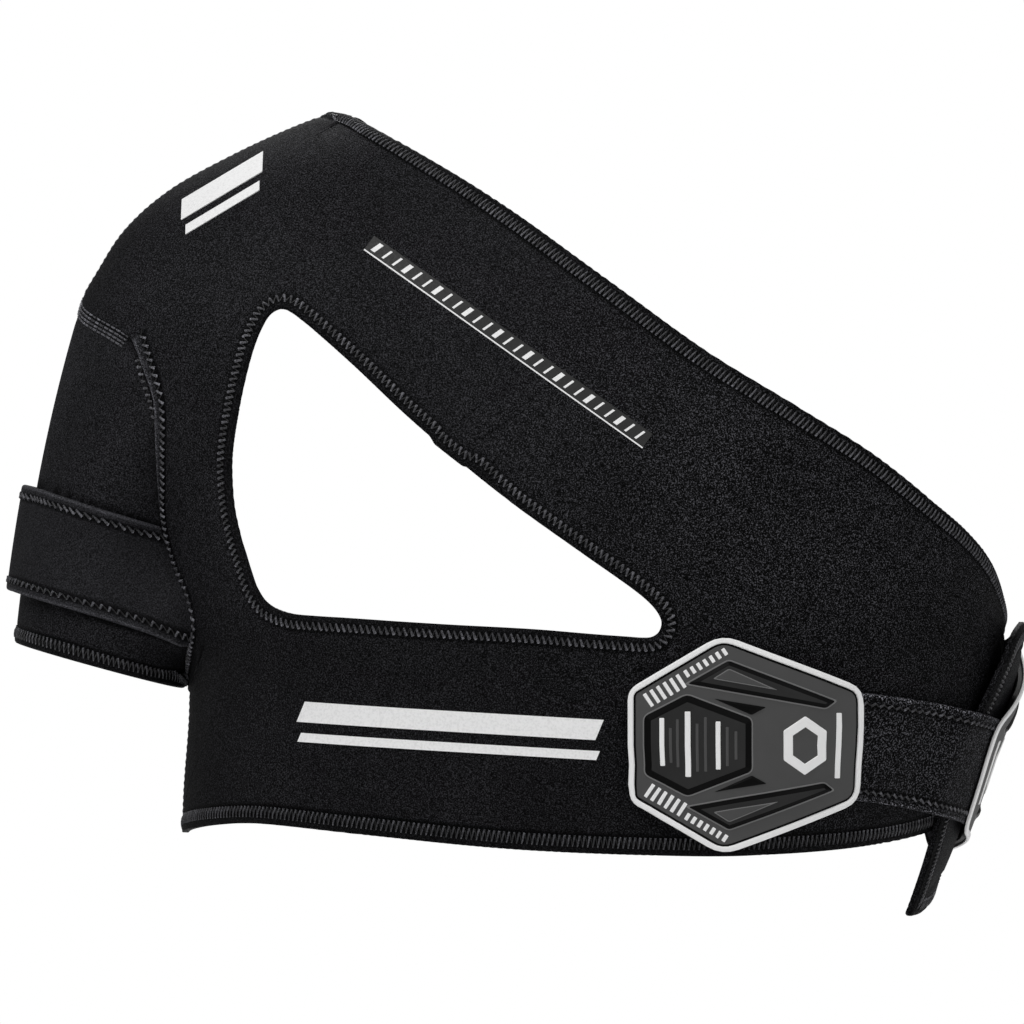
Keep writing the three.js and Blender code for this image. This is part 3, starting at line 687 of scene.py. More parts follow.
def arc_lengths(points):
    """The running length at each point of a closed loop, and its whole length at the end."""
    steps = np.linalg.norm(np.roll(points, -1, axis=0) - points, axis=1)
    return np.concatenate([[0], np.cumsum(steps)])


# Along an armhole, from the underarm to the cap: the needle lines' distances from the edge.
ARM_SHARES = (0, 0.2, 0.3, 0.42, 0.55, 0.64, 0.73, 0.82, 0.91)
ARM_INNER = (4.0, 3.6, 2.8, 3.9, 5.2, 6.8, 7.4, 8.6, 8.8)
ARM_OUTER = (1.8, 1.6, 1.0, 1.8, 3.1, 4.8, 5.2, 6.2, 6.4)
CAP_FROM = 0.88
SEAM_NEEDLE = 1.6
SEAM_SLIT = 0.03
# The lap in the binding along the window's upper edge, and how far it stands out into the window.
LAP_X = (79.5, 82.5, 95, 98.5, 106, 117)
LAP_OUT = (0, 1.4, 0.8, -1.7, -1.1, 0)
LAP_ABOVE = -190
INTO_WINDOW = np.array((-0.65, 0, -0.76))
# Painted light by hems: how light the strip from an edge to its stitches is beside plain cloth, and the
# painted highlight along its fold.
HEM_STRIP = {"strip": 0.5, "line": 1.0}
ARM_STRIP = {"strip": 1.7, "line": 5.5, "fold_width": 1.0}
STRAP_STRIP = {"strip": 1.3, "line": 3.4}
# Painted shade on the panels' cloth: darker low down, at the right and along the ridge.
LOW_DARK, LOW_REACH = 0.32, (185, 245)
RIGHT_DARK, RIGHT_REACH = 0.27, (70, 210)
RIDGE_DARK, RIDGE_REACH = 0.4, (0, 0.5)
# Waves of the cloth's face (height, spacing along x and z, start), and how near an edge they fade
WAVES = ((0.18, 23, 31, 0), (0.15, 41, -17, 1.3))
WAVE_CALM = 25.0
EDGE_KINDS = ("hem", "hem", "seam", "arm", "seam")


class Panel:
    """A panel as grids: columns run round it, and rows from the outer edge across to the window."""
    ACROSS = 10
    CORNER_REACH = 34.0
    LEAST_MITRE = 0.35
    STRETCH_SAMPLES, CURVE_SAMPLES = 60, 40

    def __init__(self, cut, rise, lapped=False):
        self.cut, self.rise, self.lapped = cut, rise, lapped
        self.columns()
        edge, window = cut.edge(self.along), self.window(self.along)
        outer = self.offsets(edge, window, self.shift)
        inner = self.offsets(window, edge, np.zeros(len(self.along)))[::-1]
        t = np.linspace(0, 1, self.ACROSS + 1)[1:-1, None, None]
        middle = outer[-1] * (1 - t) + inner[0] * t
        place = np.concatenate([outer, middle, inner]).transpose(1, 0, 2)
        self.girth, self.z = place[..., 0], place[..., 1]
        self.base = body_point(self.girth, self.z)
        self.normal = body_frame(self.girth, self.z)[2]
        self.calm_curve = np.concatenate([edge, window])
        self.heights()

    def window(self, along):
        """The window's edge, which steps where the ends of the front one's binding lap."""
        points = self.cut.window(along)
        out = self.lapped * (points[:, 2] > LAP_ABOVE) * np.interp(points[:, 0], LAP_X, LAP_OUT)
        return points + out[:, None] * INTO_WINDOW

    def columns(self):
        """Columns at even steps between corners, a whole number of stitches in each stretch."""
        cut = self.cut
        corners = [i for i, sharp in enumerate(cut.corners) if sharp]
        along, kind, self.stretch = [], [], []
        before, after = [], []
        for n, start in enumerate(corners):
            end = corners[n + 1] if n + 1 < len(corners) else corners[0] + cut.count
            fine = np.linspace(start, end, (end - start) * self.STRETCH_SAMPLES + 1)
            run = np.concatenate([[0], np.cumsum(np.linalg.norm(np.diff(cut.edge(fine), axis=0), axis=1))])
            stitches = max(round(run[-1] / PITCH), 2)
            steps = np.linspace(0, run[-1], stitches * COLUMNS_PER_STITCH + 1)[:-1]
            self.stretch.append((EDGE_KINDS[n], sum(map(len, along)), stitches))
            along.append(np.interp(steps, run, fine))
            before.append(steps)
            after.append(run[-1] - steps)
            kind += [EDGE_KINDS[n]] * len(steps)
        self.along = np.concatenate(along)
        self.kind = np.array(kind)
        self.arm_share = (self.along - cut.arm_start) / len(ARMHOLE)
        arm = self.kind == "arm"
        self.kind[arm & (self.arm_share > CAP_FROM)] = "cap"
        self.needle_inner = np.where(arm, np.interp(self.arm_share, ARM_SHARES, ARM_INNER), HEM_NEEDLES[0])
        self.needle_outer = np.where(arm, np.interp(self.arm_share, ARM_SHARES, ARM_OUTER), HEM_NEEDLES[1])
        self.shift = self.corner_shift(before, after)

    def corner_shift(self, before, after):
        """How far the rings lean along the edge near a corner, so that they meet on its mitre."""
        points = self.cut.edge(self.along)
        ahead = unit(np.roll(points, -1, axis=0) - points)
        behind = np.roll(ahead, 1, axis=0)
        turn = np.arccos(np.clip(dot(ahead, behind), -1, 1))
        shift = np.zeros(len(self.along))
        firsts = [first for _, first, _ in self.stretch]
        for n, (_, first, stitches) in enumerate(self.stretch):
            columns = np.arange(first, first + stitches * COLUMNS_PER_STITCH)
            following = firsts[(n + 1) % len(firsts)]
            for corner, distance, way in ((first, before[n], 1), (following, after[n], -1)):
                share = np.clip(1 - distance / self.CORNER_REACH, 0, 1)
                shift[columns] += way * math.tan(turn[corner] / 2) * share
        shift[firsts] = 0
        return shift

    def offsets(self, edge, other, shift):
        """Rings of places at the hem's distances in from an edge."""
        girth, z = body_girth(edge), edge[:, 2]
        round_way, up_way, normal = body_frame(girth, z)
        ahead = unit(np.roll(edge, -1, axis=0) - edge)
        behind = np.roll(ahead, 1, axis=0)
        along = unit(ahead + behind)
        mitre = 1 / np.maximum(np.sqrt((1 + dot(ahead, behind)) / 2), self.LEAST_MITRE)
        inward = unit(np.cross(normal, along))
        toward = (body_girth(other) - girth)[:, None] * round_way + (other[:, 2] - z)[:, None] * up_way
        inward *= np.sign(dot(inward, toward).sum())
        step = inward * mitre[:, None] + along * shift[:, None]
        e, f, g = dot(round_way, round_way), dot(round_way, up_way), dot(up_way, up_way)
        p, q = dot(step, round_way), dot(step, up_way)
        det = e * g - f * f
        move = np.stack([(g * p - f * q) / det, (e * q - f * p) / det], axis=-1)
        start = np.stack([girth, z], axis=-1)
        return start[None] + HEM_ROWS[:, None, None] * move[None]

    def wave(self, points):
        """Soft unevenness of the cloth's face, none at its edges."""
        x, z = points[..., 0], points[..., 2]
        soft = sum(height * np.sin(x / a + z / b + start) for height, a, b, start in WAVES)
        return soft * np.minimum(nearest(points, self.calm_curve) / WAVE_CALM, 1)

    def heights(self):
        """Outer and inner faces, with rounded edges and the hem's swell, and the painted light and shade on
        the cloth.
        """
        cut, rings = self.cut, len(HEM_ROWS)
        fine = np.linspace(0, cut.count, cut.count * self.CURVE_SAMPLES, endpoint=False)
        edge = cut.edge(fine)
        owner = self.kind[np.searchsorted(self.along, fine, side="right") - 1]
        rows = np.r_[0:rings, self.base.shape[1] - rings:self.base.shape[1]]
        points = self.base[:, rows]
        hem = nearest(points, np.concatenate([edge[owner == "hem"], self.window(fine)]))
        seam = nearest(points, edge[(owner == "seam") | (owner == "cap")])
        arm = nearest(points, edge[owner == "arm"])
        needle = self.needle_inner[:, None]
        shape = self.base.shape[:2]
        top, drop, under = np.zeros(shape), np.zeros(shape), np.zeros(shape)
        at_seam = SEAM_DROP * rounding(seam, SEAM_RADIUS)
        under[:, rows] = np.maximum(HEM_DROP * rounding(hem, EDGE_RADIUS), at_seam)
        drop[:, rows] = np.maximum(under[:, rows], ARM_DROP * rounding(arm, EDGE_RADIUS))
        top[:, rows] = hem_puff(hem) + ARM_PUFF * hem_puff(arm, needle)
        self.shade = np.ones(shape)
        # Painted light and shade on the outer face: a highlight along the armhole's fold, shade between the
        # threads and in the grooves, then darker cloth low down, at the right and along the ridge.
        for kind, strip in (("hem", HEM_STRIP), ("arm", ARM_STRIP)):
            beside = stitch_shade(HEM_ROWS[None], (needle, self.needle_outer[:, None]), **strip)
            self.shade[self.kind == kind, :rings] = beside[self.kind == kind]
        self.shade[:, -rings:] = stitch_shade(HEM_ROWS[None, ::-1], WINDOW_NEEDLES, **HEM_STRIP)
        self.shade *= 1 - LOW_DARK * smooth(-self.z, *LOW_REACH)
        self.shade *= 1 - RIGHT_DARK * smooth(self.base[..., 0], *RIGHT_REACH)
        self.shade *= 1 - RIDGE_DARK * (1 - smooth(self.girth, *RIDGE_REACH))
        self.window_run = arc_lengths(self.base[:, -1 - round(row_at(sum(WINDOW_NEEDLES) / 2))])
        level = self.rise(self.girth, self.z) + self.wave(self.base)
        off_middle = np.array((0, SEAM_SLIT / 2, 0))
        self.outer = raised(self.base, self.normal, level + top - drop) - off_middle
        self.inner = raised(self.base, self.normal, level - WALL + INNER_SHARE * under) - off_middle

    def threads(self):
        """Zigzag thread round the hems, the armhole and the window."""
        last = self.outer.shape[1] - 1
        pieces = []
        for kind, first, stitches in self.stretch:
            if kind == "seam":
                continue
            step = HEM_STITCH_COLUMNS if kind == "hem" else COLUMNS_PER_STITCH
            starts = np.arange(first, first + stitches * COLUMNS_PER_STITCH, step)
            starts = starts[self.kind[starts] != "cap"]
            starts = starts[1:] if kind == "hem" else starts
            rows = (row_at(self.needle_inner[starts]), row_at(self.needle_outer[starts]))
            # The hems' thread gets painted shade low down, as the cloth does.
            low = smooth(-self.z[starts, 0], *LOW_REACH)[:, None]
            glow = HEM_GLOW * (1 - LOW_DARK * low) if kind == "hem" else ARM_GLOW
            radius = HEM_THREAD_RADIUS if kind == "hem" else THREAD_RADIUS
            pieces.append(zigzag(self.outer, self.normal, starts, starts + step, rows, True, glow, radius))
        beats = np.linspace(0, self.window_run[-1], round(self.window_run[-1] / WINDOW_PITCH) + 1)
        columns = np.interp(beats, self.window_run, np.arange(len(self.window_run)))
        rows = tuple(last - row_at(d) for d in WINDOW_NEEDLES)
        pieces.append(zigzag(self.outer, self.normal, columns[:-1], columns[1:], rows, True))
        return join(pieces)

    def seams(self):
        """The first column and the number of stitches of each seam."""
        return [(first, stitches) for kind, first, stitches in self.stretch if kind == "seam"]


def flipped(mesh):
    vertices, faces = mesh
    turned = vertices.copy()
    turned[:, 1] *= -1
    return turned, [np.asarray(f)[:, ::-1] for f in faces]


front = Panel(front_cut, no_rise, lapped=True)
back = Panel(back_cut, flap_rise)


def seam_threads():
    """Flat seams over the shoulder and down the side: a zigzag across the joint between two lines."""
    row = row_at(SEAM_NEEDLE)
    pieces = []
    for (front_first, stitches), (back_first, _) in zip(front.seams(), back.seams()):
        beats = COLUMNS_PER_STITCH * np.arange(stitches + 1)
        for panel, first, turned in ((front, front_first, False), (back, back_first, True)):
            rows = np.full(stitches + 1, row)
            line = running(panel.outer, panel.normal, first + beats, rows, True, SEAM_THREAD_RADIUS)
            pieces.append(flipped(line) if turned else line)
        turns = np.arange(2 * stitches + 1)
        columns, rows = turns * COLUMNS_PER_STITCH / 2, np.full(len(turns), row)
        ends, normals = (
            np.where((turns % 2 == 0)[:, None], sampled(ahead, front_first + columns, rows, True),
                     mirrored(sampled(behind, back_first + columns, rows, True)))
            for ahead, behind in ((front.outer, back.outer), (front.normal, back.normal)))
        across = unit(normals[:-1] + normals[1:])[:, None]
        path = ends[:-1, None] + (ends[1:] - ends[:-1])[:, None] * ALONG[:, None]
        lift = SEAM_THREAD_RADIUS * (SEAM_ARCH * ARCH - SEAM_DEPTH)
        across = np.broadcast_to(across, path.shape)
        pieces.append(tubes(raised(path, across, lift), across, SEAM_THREAD_RADIUS, SEAM_LIGHT))
    return join(pieces)


def cloth(outer, inner, shade, closed):
    """A thick sheet whose outer face carries painted light and shade, and whose inner face is plain cloth.
    """
    return thick(shaded(outer, shade), shaded(inner, 1), closed)


front_cloth = make("front_cloth", *cloth(front.outer, front.inner, front.shade, True), [CLOTH])
back_cloth = make("back_cloth", *flipped(cloth(back.outer, back.inner, back.shade, True)), [CLOTH])
front_stitches = make("front_stitches", *front.threads(), [THREAD])
back_stitches = make("back_stitches", *flipped(back.threads()), [THREAD])
seam_stitches = make("seam_stitches", *seam_threads(), [THREAD])

# Sleeve
SLEEVE_CENTRE = (SLEEVE_HEM_LEFT + SLEEVE_HEM_RIGHT) / 2
SLEEVE_ACROSS = (SLEEVE_HEM_RIGHT - SLEEVE_HEM_LEFT) / 2
SLEEVE_UP = unit(np.array((-SLEEVE_ACROSS[2], 0, SLEEVE_ACROSS[0])))
ARM_UP = np.array((math.sin(ARM_TILT), 0, math.cos(ARM_TILT)))
SLEEVE_ROWS = 26
SLEEVE_STITCHES = 72
CAP_LINES = (0.7, 2.6, 4.5, 6.2)
CAP_REACH = 0.096
CAP_FADE = 0.03
CAP_STITCHES = 31
# How far the seam's edge is tucked in under the panels, and down
TUCK = 2.5
TUCK_DOWN = 0.3
# A line of the sleeve is at least this many times as long as its seam and hem rows, or they shrink.
ROOM = 1.15
# Painted shade on the sleeve's cloth: darker by its seam, a painted shadow at the strap's edges, darker
# below it, and dark lines by the cap's lines
SEAM_DARK, SEAM_DARK_REACH = 0.7, 4
STRAP_SHADOW, STRAP_SHADOW_WIDTH = 0.85, 1.5
BELOW_DARK, BELOW_REACH = 0.35, 6
CAP_DEPTH, CAP_WIDTH, CAP_DARK, CAP_DARK_OFF, CAP_DARK_WIDTH = 0.35, 0.6, 0.8, 1, 0.45
SECOND_ROW = {"from": 0.175, "to": 0.3, "start": 0.3, "arch": 1.5, "width": 1.6, "stitches": 9}


def armhole_edge(place):
    turn = np.mod(place, 2)
    share = np.where(turn < 1, 1 - turn, turn - 1)
    edge = front_cut.edge(front_cut.arm_start + share * len(ARMHOLE))
    girth, z = body_girth(edge), edge[..., 2]
    point, normal = body_point(girth, z), body_frame(girth, z)[2]
    at_back = (turn >= 1)[..., None]
    return np.where(at_back, mirrored(point), point), np.where(at_back, mirrored(normal), normal)


def sleeve_line(place):
    """The seam point, the bend point and the hem point of one line of the sleeve."""
    point, normal = armhole_edge(place)
    angle = (1 - np.mod(place, 2)) * math.pi
    hem = SLEEVE_CENTRE + SLEEVE_ACROSS * np.cos(angle)[..., None]
    hem[..., 1] = -SLEEVE_HEM_HALF_DEPTH * np.sin(angle)
    middle = hem + ARM_UP * (SLEEVE_BOW * ((point - hem) @ ARM_UP))[..., None]
    along = armhole_edge(place + EDGE_STEP)[0] - armhole_edge(place - EDGE_STEP)[0]
    off_panel = unit(np.cross(along, normal))
    leaving = middle - point
    turn = np.arctan2(dot(leaving, normal), dot(leaving, off_panel))
    sunk = WALL * np.maximum(np.cos(turn), 0) * np.sin(angle) ** 2
    point = point + off_panel * (SEAM_GAP * np.cos(turn / 2))[..., None]
    return point + normal * (SEAM_GAP * np.sin(turn / 2) - sunk)[..., None], middle, hem


def sleeve_point(place, share):
    start, middle, end = sleeve_line(place)
    t = np.asarray(share)[..., None]
    return start * (1 - t) ** 2 + middle * 2 * t * (1 - t) + end * t * t


def sleeve_normal(place, share):
    round_way = sleeve_point(place + EDGE_STEP, share) - sleeve_point(place - EDGE_STEP, share)
    start, middle, end = sleeve_line(place)
    t = np.asarray(share)[..., None]
    down = (middle - start) * (1 - t) + (end - middle) * t
    return unit(np.cross(down, round_way))


def hem_height(points):
    return (points - SLEEVE_CENTRE) @ SLEEVE_UP


def arm_strap_edge(place, name):
    return ARM_STRAP[name] + ARM_STRAP[name + "_rise"] * np.cos(place * math.pi)


def sleeve_grid():
    """The sleeve's faces: columns run round it, and rows from the armhole seam down to the hem."""
    columns = SLEEVE_STITCHES * COLUMNS_PER_STITCH
    place = np.arange(columns) * 2 / columns
    start, middle, end = sleeve_line(place)
    length = np.linalg.norm(middle - start, axis=-1) + np.linalg.norm(end - middle, axis=-1)
    room = np.minimum(length / (ROOM * (SEAM_ROWS[-1] + HEM_ROWS[-1])), 1)[:, None]
    seam_share = SEAM_ROWS[None] * room / length[:, None]
    hem_share = 1 - HEM_ROWS[None, ::-1] * room / length[:, None]
    t = np.linspace(0, 1, SLEEVE_ROWS)[None, 1:-1]
    body = seam_share[:, -1:] * (1 - t) + hem_share[:, :1] * t
    share = np.concatenate([seam_share, body, hem_share], axis=1)
    place = np.broadcast_to(place[:, None], share.shape)
    base, normal = sleeve_point(place, share), sleeve_normal(place, share)
    from_hem = (1 - share) * length[:, None]
    from_seam = share * length[:, None]
    edge, out = armhole_edge(place[:, 0])
    along = armhole_edge(place[:, 0] + EDGE_STEP)[0] - armhole_edge(place[:, 0] - EDGE_STEP)[0]
    under_panel = -unit(np.cross(along, out)) * TUCK - out * TUCK_DOWN
    tucked = (1 - smooth(from_seam, 0, TUCK)) * np.sin(place * math.pi) ** 4
    base = base + under_panel[:, None] * tucked[..., None]
    at_seam = SLEEVE_SEAM_DROP * rounding(from_seam, SEAM_RADIUS) * np.cos(place * math.pi) ** 2
    drop = HEM_DROP * rounding(from_hem, EDGE_RADIUS) + at_seam
    top = hem_puff(from_hem)
    # Painted light and shade on the sleeve: its hem's fold and stitches, shade by the seam, shadows at the
    # strap's edges and below it, and dark lines beside the cap's grooves.
    shade = stitch_shade(from_hem, HEM_NEEDLES, **HEM_STRIP)
    shade = shade * (1 - SEAM_DARK * (1 - smooth(from_seam, 0, SEAM_DARK_REACH)))
    height = hem_height(base)
    for name in ("low", "high"):
        shade = shade * (1 - STRAP_SHADOW * bell(height, arm_strap_edge(place, name), STRAP_SHADOW_WIDTH))
    shade = shade * (1 - BELOW_DARK * smooth(arm_strap_edge(place, "low") - height, 0, BELOW_REACH))
    capped = 1 - smooth(np.minimum(place, 2 - place), CAP_REACH, CAP_REACH + CAP_FADE)
    for line in CAP_LINES:
        top = top - CAP_DEPTH * capped * bell(from_seam, line, CAP_WIDTH)
        dark = bell(from_seam, line + CAP_DARK_OFF, CAP_DARK_WIDTH)
        shade = shade - CAP_DARK * capped * dark
    return raised(base, normal, top - drop), raised(base, normal, INNER_SHARE * drop - WALL), normal, shade


sleeve_outer, sleeve_inner, sleeve_normals, sleeve_shade = sleeve_grid()


def sleeve_threads():
    """The hem's zigzag, lines round the cap, and a second row that runs in under each armhole strip."""
    columns, last = sleeve_outer.shape[0], sleeve_outer.shape[1] - 1
    starts = np.arange(0, columns, HEM_STITCH_COLUMNS)
    ends = starts + HEM_STITCH_COLUMNS
    rows = tuple(last - row_at(d) for d in HEM_NEEDLES)
    pieces = [zigzag(sleeve_outer, sleeve_normals, starts, ends, rows, True, SLEEVE_GLOW, HEM_THREAD_RADIUS)]
    at = np.linspace(-1, 1, CAP_STITCHES + 1) * CAP_REACH * columns / 2
    for distance in CAP_LINES:
        rows = np.full(len(at), row_at(distance, SEAM_ROWS))
        pieces.append(running(sleeve_outer, sleeve_normals, at, rows, True))
    for side in (1, -1):
        along = np.linspace(0, 1, SECOND_ROW["stitches"] + 1)
        at = (SECOND_ROW["from"] + (SECOND_ROW["to"] - SECOND_ROW["from"]) * along) * side * columns / 2
        from_edge = SECOND_ROW["start"] + SECOND_ROW["arch"] * np.sin(math.pi * along[:-1])
        rows = (row_at(from_edge + SECOND_ROW["width"], SEAM_ROWS), row_at(from_edge, SEAM_ROWS))
        pieces.append(zigzag(sleeve_outer, sleeve_normals, at[:-1], at[1:], rows, True, ARM_GLOW))
    return join(pieces)


sleeve_cloth = make("sleeve_cloth", *cloth(sleeve_outer, sleeve_inner, sleeve_shade, True), [SLEEVE_CLOTH])
sleeve_stitches = make("sleeve_stitches", *sleeve_threads(), [THREAD])


# Straps
ARM_STRAP_WIDTH = 49.5
STRAP_ACROSS = 8


def where_falls(value, target, low, high):
    """Where a value that falls from low to high passes its target."""
    low, high = low.astype(float), high.astype(float)
    for _ in range(HALVINGS):
        middle = (low + high) / 2
        above = value(middle) > target
        low, high = np.where(above, middle, low), np.where(above, high, middle)
    return low


def strap_end(name):
    def above(place):
        return hem_height(sleeve_point(place, np.zeros(1))) - arm_strap_edge(place, name)
    return float(where_falls(above, ARM_STRAP["end_gap"], np.zeros(1), np.ones(1))[0])


def arm_strap_place(t, s):
    """A point on the sleeve under the strap, its normal, how far the strap's underside stands off, and
    how thick the strap is, which is less where its front end is sewn in."""
    low_end, high_end = strap_end("low"), strap_end("high")
    start = low_end + (high_end - low_end) * s
    place = start + (-high_end * ARM_STRAP["back_share"] - start) * t
    low, high = arm_strap_edge(place, "low"), arm_strap_edge(place, "high")
    height = low + (high - low) * s
    along = where_falls(lambda at: hem_height(sleeve_point(place, at)), height, np.zeros(place.shape),
                        np.ones(place.shape))
    slack = ARM_STRAP["slack"] * smooth(1 - np.abs(place) / ARM_STRAP["slack_reach"], 0, 1)
    at_end = smooth(place, ARM_STRAP["end_from"], ARM_STRAP["end_to"])
    sewn = 1 - smooth(t, 0, SEWN_REACH)
    out = (ARM_STRAP["ease"] + ARM_STRAP["end_ease"] * at_end + slack) * (1 - SEWN_DOWN * sewn)
    thickness = STRAP_THICKNESS * (1 - SEWN_THIN * sewn)
    return sleeve_point(place, along), sleeve_normal(place, along), out, thickness


def front_patch_place(u, v):
    z = FRONT_PATCH["z"] + v
    return walk_girth(girth_at_x(FRONT_PATCH["x"], z), z, u), z


def back_patch_place(u, v):
    tilt = BACK_PATCH["tilt"]
    z = BACK_PATCH["z"] + v * math.cos(tilt) + u * math.sin(tilt)
    start = np.full(np.shape(z), BACK_PATCH["girth"])
    return walk_girth(start, z, u * math.cos(tilt) - v * math.sin(tilt)), z


def side_strap_place(t, s):
    tucked = np.full(t.shape, PATCH_STRAP_END - SIDE_STRAP["tuck"], float)
    across = STRAP_WIDTH * (s - 0.5)
    girth_a, z_a = front_patch_place(tucked, across)
    girth_b, z_b = back_patch_place(tucked, across)
    girth = girth_a + (ROUND_TRIP - girth_b - girth_a) * t
    z = z_a + (z_b - z_a) * t
    climb = smooth(girth, SIDE_STRAP["climb_from"], SIDE_STRAP["climb_to"])
    out = climb * flap_rise(ROUND_TRIP - girth, z) + GAP
    return body_point(girth, z), body_frame(girth, z)[2], out, STRAP_THICKNESS


def strap_grid(place, stitches, needles, width):
    """A strap with a folded, stitched hem along both edges, and painted light and shade by them."""
    columns = stitches * COLUMNS_PER_STITCH + 1
    hem = HEM_ROWS / width
    s = np.concatenate([hem, np.linspace(hem[-1], 1 - hem[-1], STRAP_ACROSS + 1)[1:-1], 1 - hem[::-1]])
    tt, ss = np.meshgrid(np.linspace(0, 1, columns), s, indexing="ij")
    base, normal, out, thickness = place(tt, ss)
    distance = np.minimum(ss, 1 - ss) * width
    drop = rounding(distance, STRAP_RADIUS)
    top = STRAP_PUFF * hem_puff(distance, STRAP_PUFF_NEEDLE)
    outer = raised(base, normal, out + thickness + top - drop)
    inner = raised(base, normal, out + INNER_SHARE * drop)
    return outer, inner, normal, stitch_shade(distance, needles, **STRAP_STRIP)


def strap_threads(outer, normals, stitches, needles):
    last = outer.shape[1] - 1
    starts = COLUMNS_PER_STITCH * np.arange(stitches)
    inner, edge = (row_at(d) for d in needles)
    rows = ((inner, edge), (last - inner, last - edge))
    return join([zigzag(outer, normals, starts, starts + COLUMNS_PER_STITCH, pair, False) for pair in rows])


ARM_STRAP_STITCHES = 44
SIDE_STRAP_STITCHES = 24
arm_outer, arm_inner, arm_normals, arm_shade = strap_grid(
    arm_strap_place, ARM_STRAP_STITCHES, ARM_STRAP_NEEDLES, ARM_STRAP_WIDTH)
side_outer, side_inner, side_normals, side_shade = strap_grid(
    side_strap_place, SIDE_STRAP_STITCHES, SIDE_STRAP_NEEDLES, STRAP_WIDTH)
arm_band = make("arm_band", *cloth(arm_outer, arm_inner, arm_shade, False), [STRAP_CLOTH])
side_band = make("side_band", *cloth(side_outer, side_inner, side_shade, False), [SIDE_CLOTH])
arm_threads = strap_threads(arm_outer, arm_normals, ARM_STRAP_STITCHES, ARM_STRAP_NEEDLES)
side_threads = strap_threads(side_outer, side_normals, SIDE_STRAP_STITCHES, SIDE_STRAP_NEEDLES)
arm_band_stitches = make("arm_band_stitches", *arm_threads, [THREAD])
side_band_stitches = make("side_band_stitches", *side_threads, [THREAD])

# Prints on the front, in place of the words: plain stripes and ticks
FILM = 0.22
FILM_SUNK = 0.5
FILM_STEP = 2.5
FILM_SHARP = math.radians(40)
OVER_PRINT = 0.1
CHEST = ((88.5, -271.3), math.radians(-3.3))
SHOULDER = ((-17.5, -22.0), math.radians(31))
LABEL = ((115.5, -91.5), math.radians(-35.6))
LABEL_LENGTH, LABEL_WIDTH, LABEL_TICKS = 158, 8.2, 27
TICK_LEAN, TICK_ROOM = 0.35, 9


def film(place, along, across, length, width, slant=0.0, lift=0.0):
    """A thin printed bar on the front panel, drawn in the front view beside a turned centre: its ends
    lean by the slant."""
    (centre_x, centre_z), angle = place
    columns, rows = (max(round(size / FILM_STEP), 2) for size in (length, width))
    s, t = np.meshgrid(np.linspace(-0.5, 0.5, columns + 1), np.linspace(-0.5, 0.5, rows + 1), indexing="ij")
    u, v = along + s * length + t * width * slant, across + t * width
    x = centre_x + u * math.cos(angle) - v * math.sin(angle)
    z = centre_z + u * math.sin(angle) + v * math.cos(angle)
    girth = girth_at_x(x, z)
    base, normal = body_point(girth, z), body_frame(girth, z)[2]
    level = front.wave(base)
    base[..., 1] -= GAP / 2
    return thick(raised(base, normal, level + FILM + lift), raised(base, normal, level - FILM_SUNK), False)


def printed(name, bars, materials):
    """Films as one piece. bars is a list of (mesh, material index)."""
    vertices, faces = join([mesh for mesh, _ in bars])
    index = np.concatenate([np.full(sum(map(len, mesh[1])), material) for mesh, material in bars])
    piece = make(name, vertices, faces, materials, index, FILM_SHARP)
    return piece


chest_stripes = printed("chest_stripes", [
    (film(CHEST, 0, 5.2, 138, 9.5, 0.35), 0),
    (film(CHEST, 0, -6.6, 138, 4.2, 0.35), 0),
], [WHITE_PRINT])
label = [
    (film(LABEL, 0, 0, LABEL_LENGTH, LABEL_WIDTH), 0),
    (film(LABEL, 0, -3.8, LABEL_LENGTH, 0.6, lift=OVER_PRINT), 1),
]
for k in range(LABEL_TICKS):
    along = (k / (LABEL_TICKS - 1) - 0.5) * (LABEL_LENGTH - TICK_ROOM)
    length = 2.2 if k % 3 == 0 else 1.1
    label.append((film(LABEL, along, 0.3, length, 5.0, TICK_LEAN, OVER_PRINT), 1))
label_strip = printed("label_strip", label, [DARK_PRINT, WHITE_PRINT])
shoulder_stripes = printed("shoulder_stripes", [
    (film(SHOULDER, 2, 3.8, 44, 8.5, 0.6), 0),
    (film(SHOULDER, -3, -5.6, 40, 3.8, 0.6), 0),
], [WHITE_PRINT])


# Patches, drawn flat (u along the strap, v up, height over the skin) and then bent onto the body.
def outline(points, inset, radius, steps=4):
    """A closed outline set in from its corners, each rounded."""
    p = np.array(points, float)
    ahead = unit(np.roll(p, -1, axis=0) - p)
    inward = np.stack([-ahead[:, 1], ahead[:, 0]], axis=1)
    behind, inward_behind = np.roll(ahead, 1, axis=0), np.roll(inward, 1, axis=0)
    bisector = unit(inward + inward_behind)
    p = p + bisector * (inset / np.maximum(dot(bisector, inward), 0.05))[:, None]
    t = np.linspace(0, 1, steps + 1)[:, None]
    ring = []
    for i, corner in enumerate(p):
        enter, leave = corner - behind[i] * radius[i], corner + ahead[i] * radius[i]
        ring.append(enter * (1 - t) ** 2 + corner * 2 * t * (1 - t) + leave * t * t)
    return np.concatenate(ring)


def moulded(bm, points, radius, profile, material, hollow=False, cap_material=None):
    """A closed form: the outline at each (inset, height) of a profile, capped, or a ring if hollow."""
    rings = []
    for inset, height in profile:
        flat = outline(points, inset, np.maximum(np.broadcast_to(radius, len(points)) - inset, 0.25))
        rings.append([bm.verts.new((u, v, height)) for u, v in flat])
    pairs = list(zip(rings[:-1], rings[1:]))
    if hollow:
        pairs.append((rings[-1], rings[0]))
    for low, high in pairs:
        for i in range(len(low)):
            j = (i + 1) % len(low)
            bm.faces.new((low[i], low[j], high[j], high[i])).material_index = material
    if not hollow:
        bm.faces.new(rings[0][::-1]).material_index = material
        bm.faces.new(rings[-1]).material_index = material if cap_material is None else cap_material


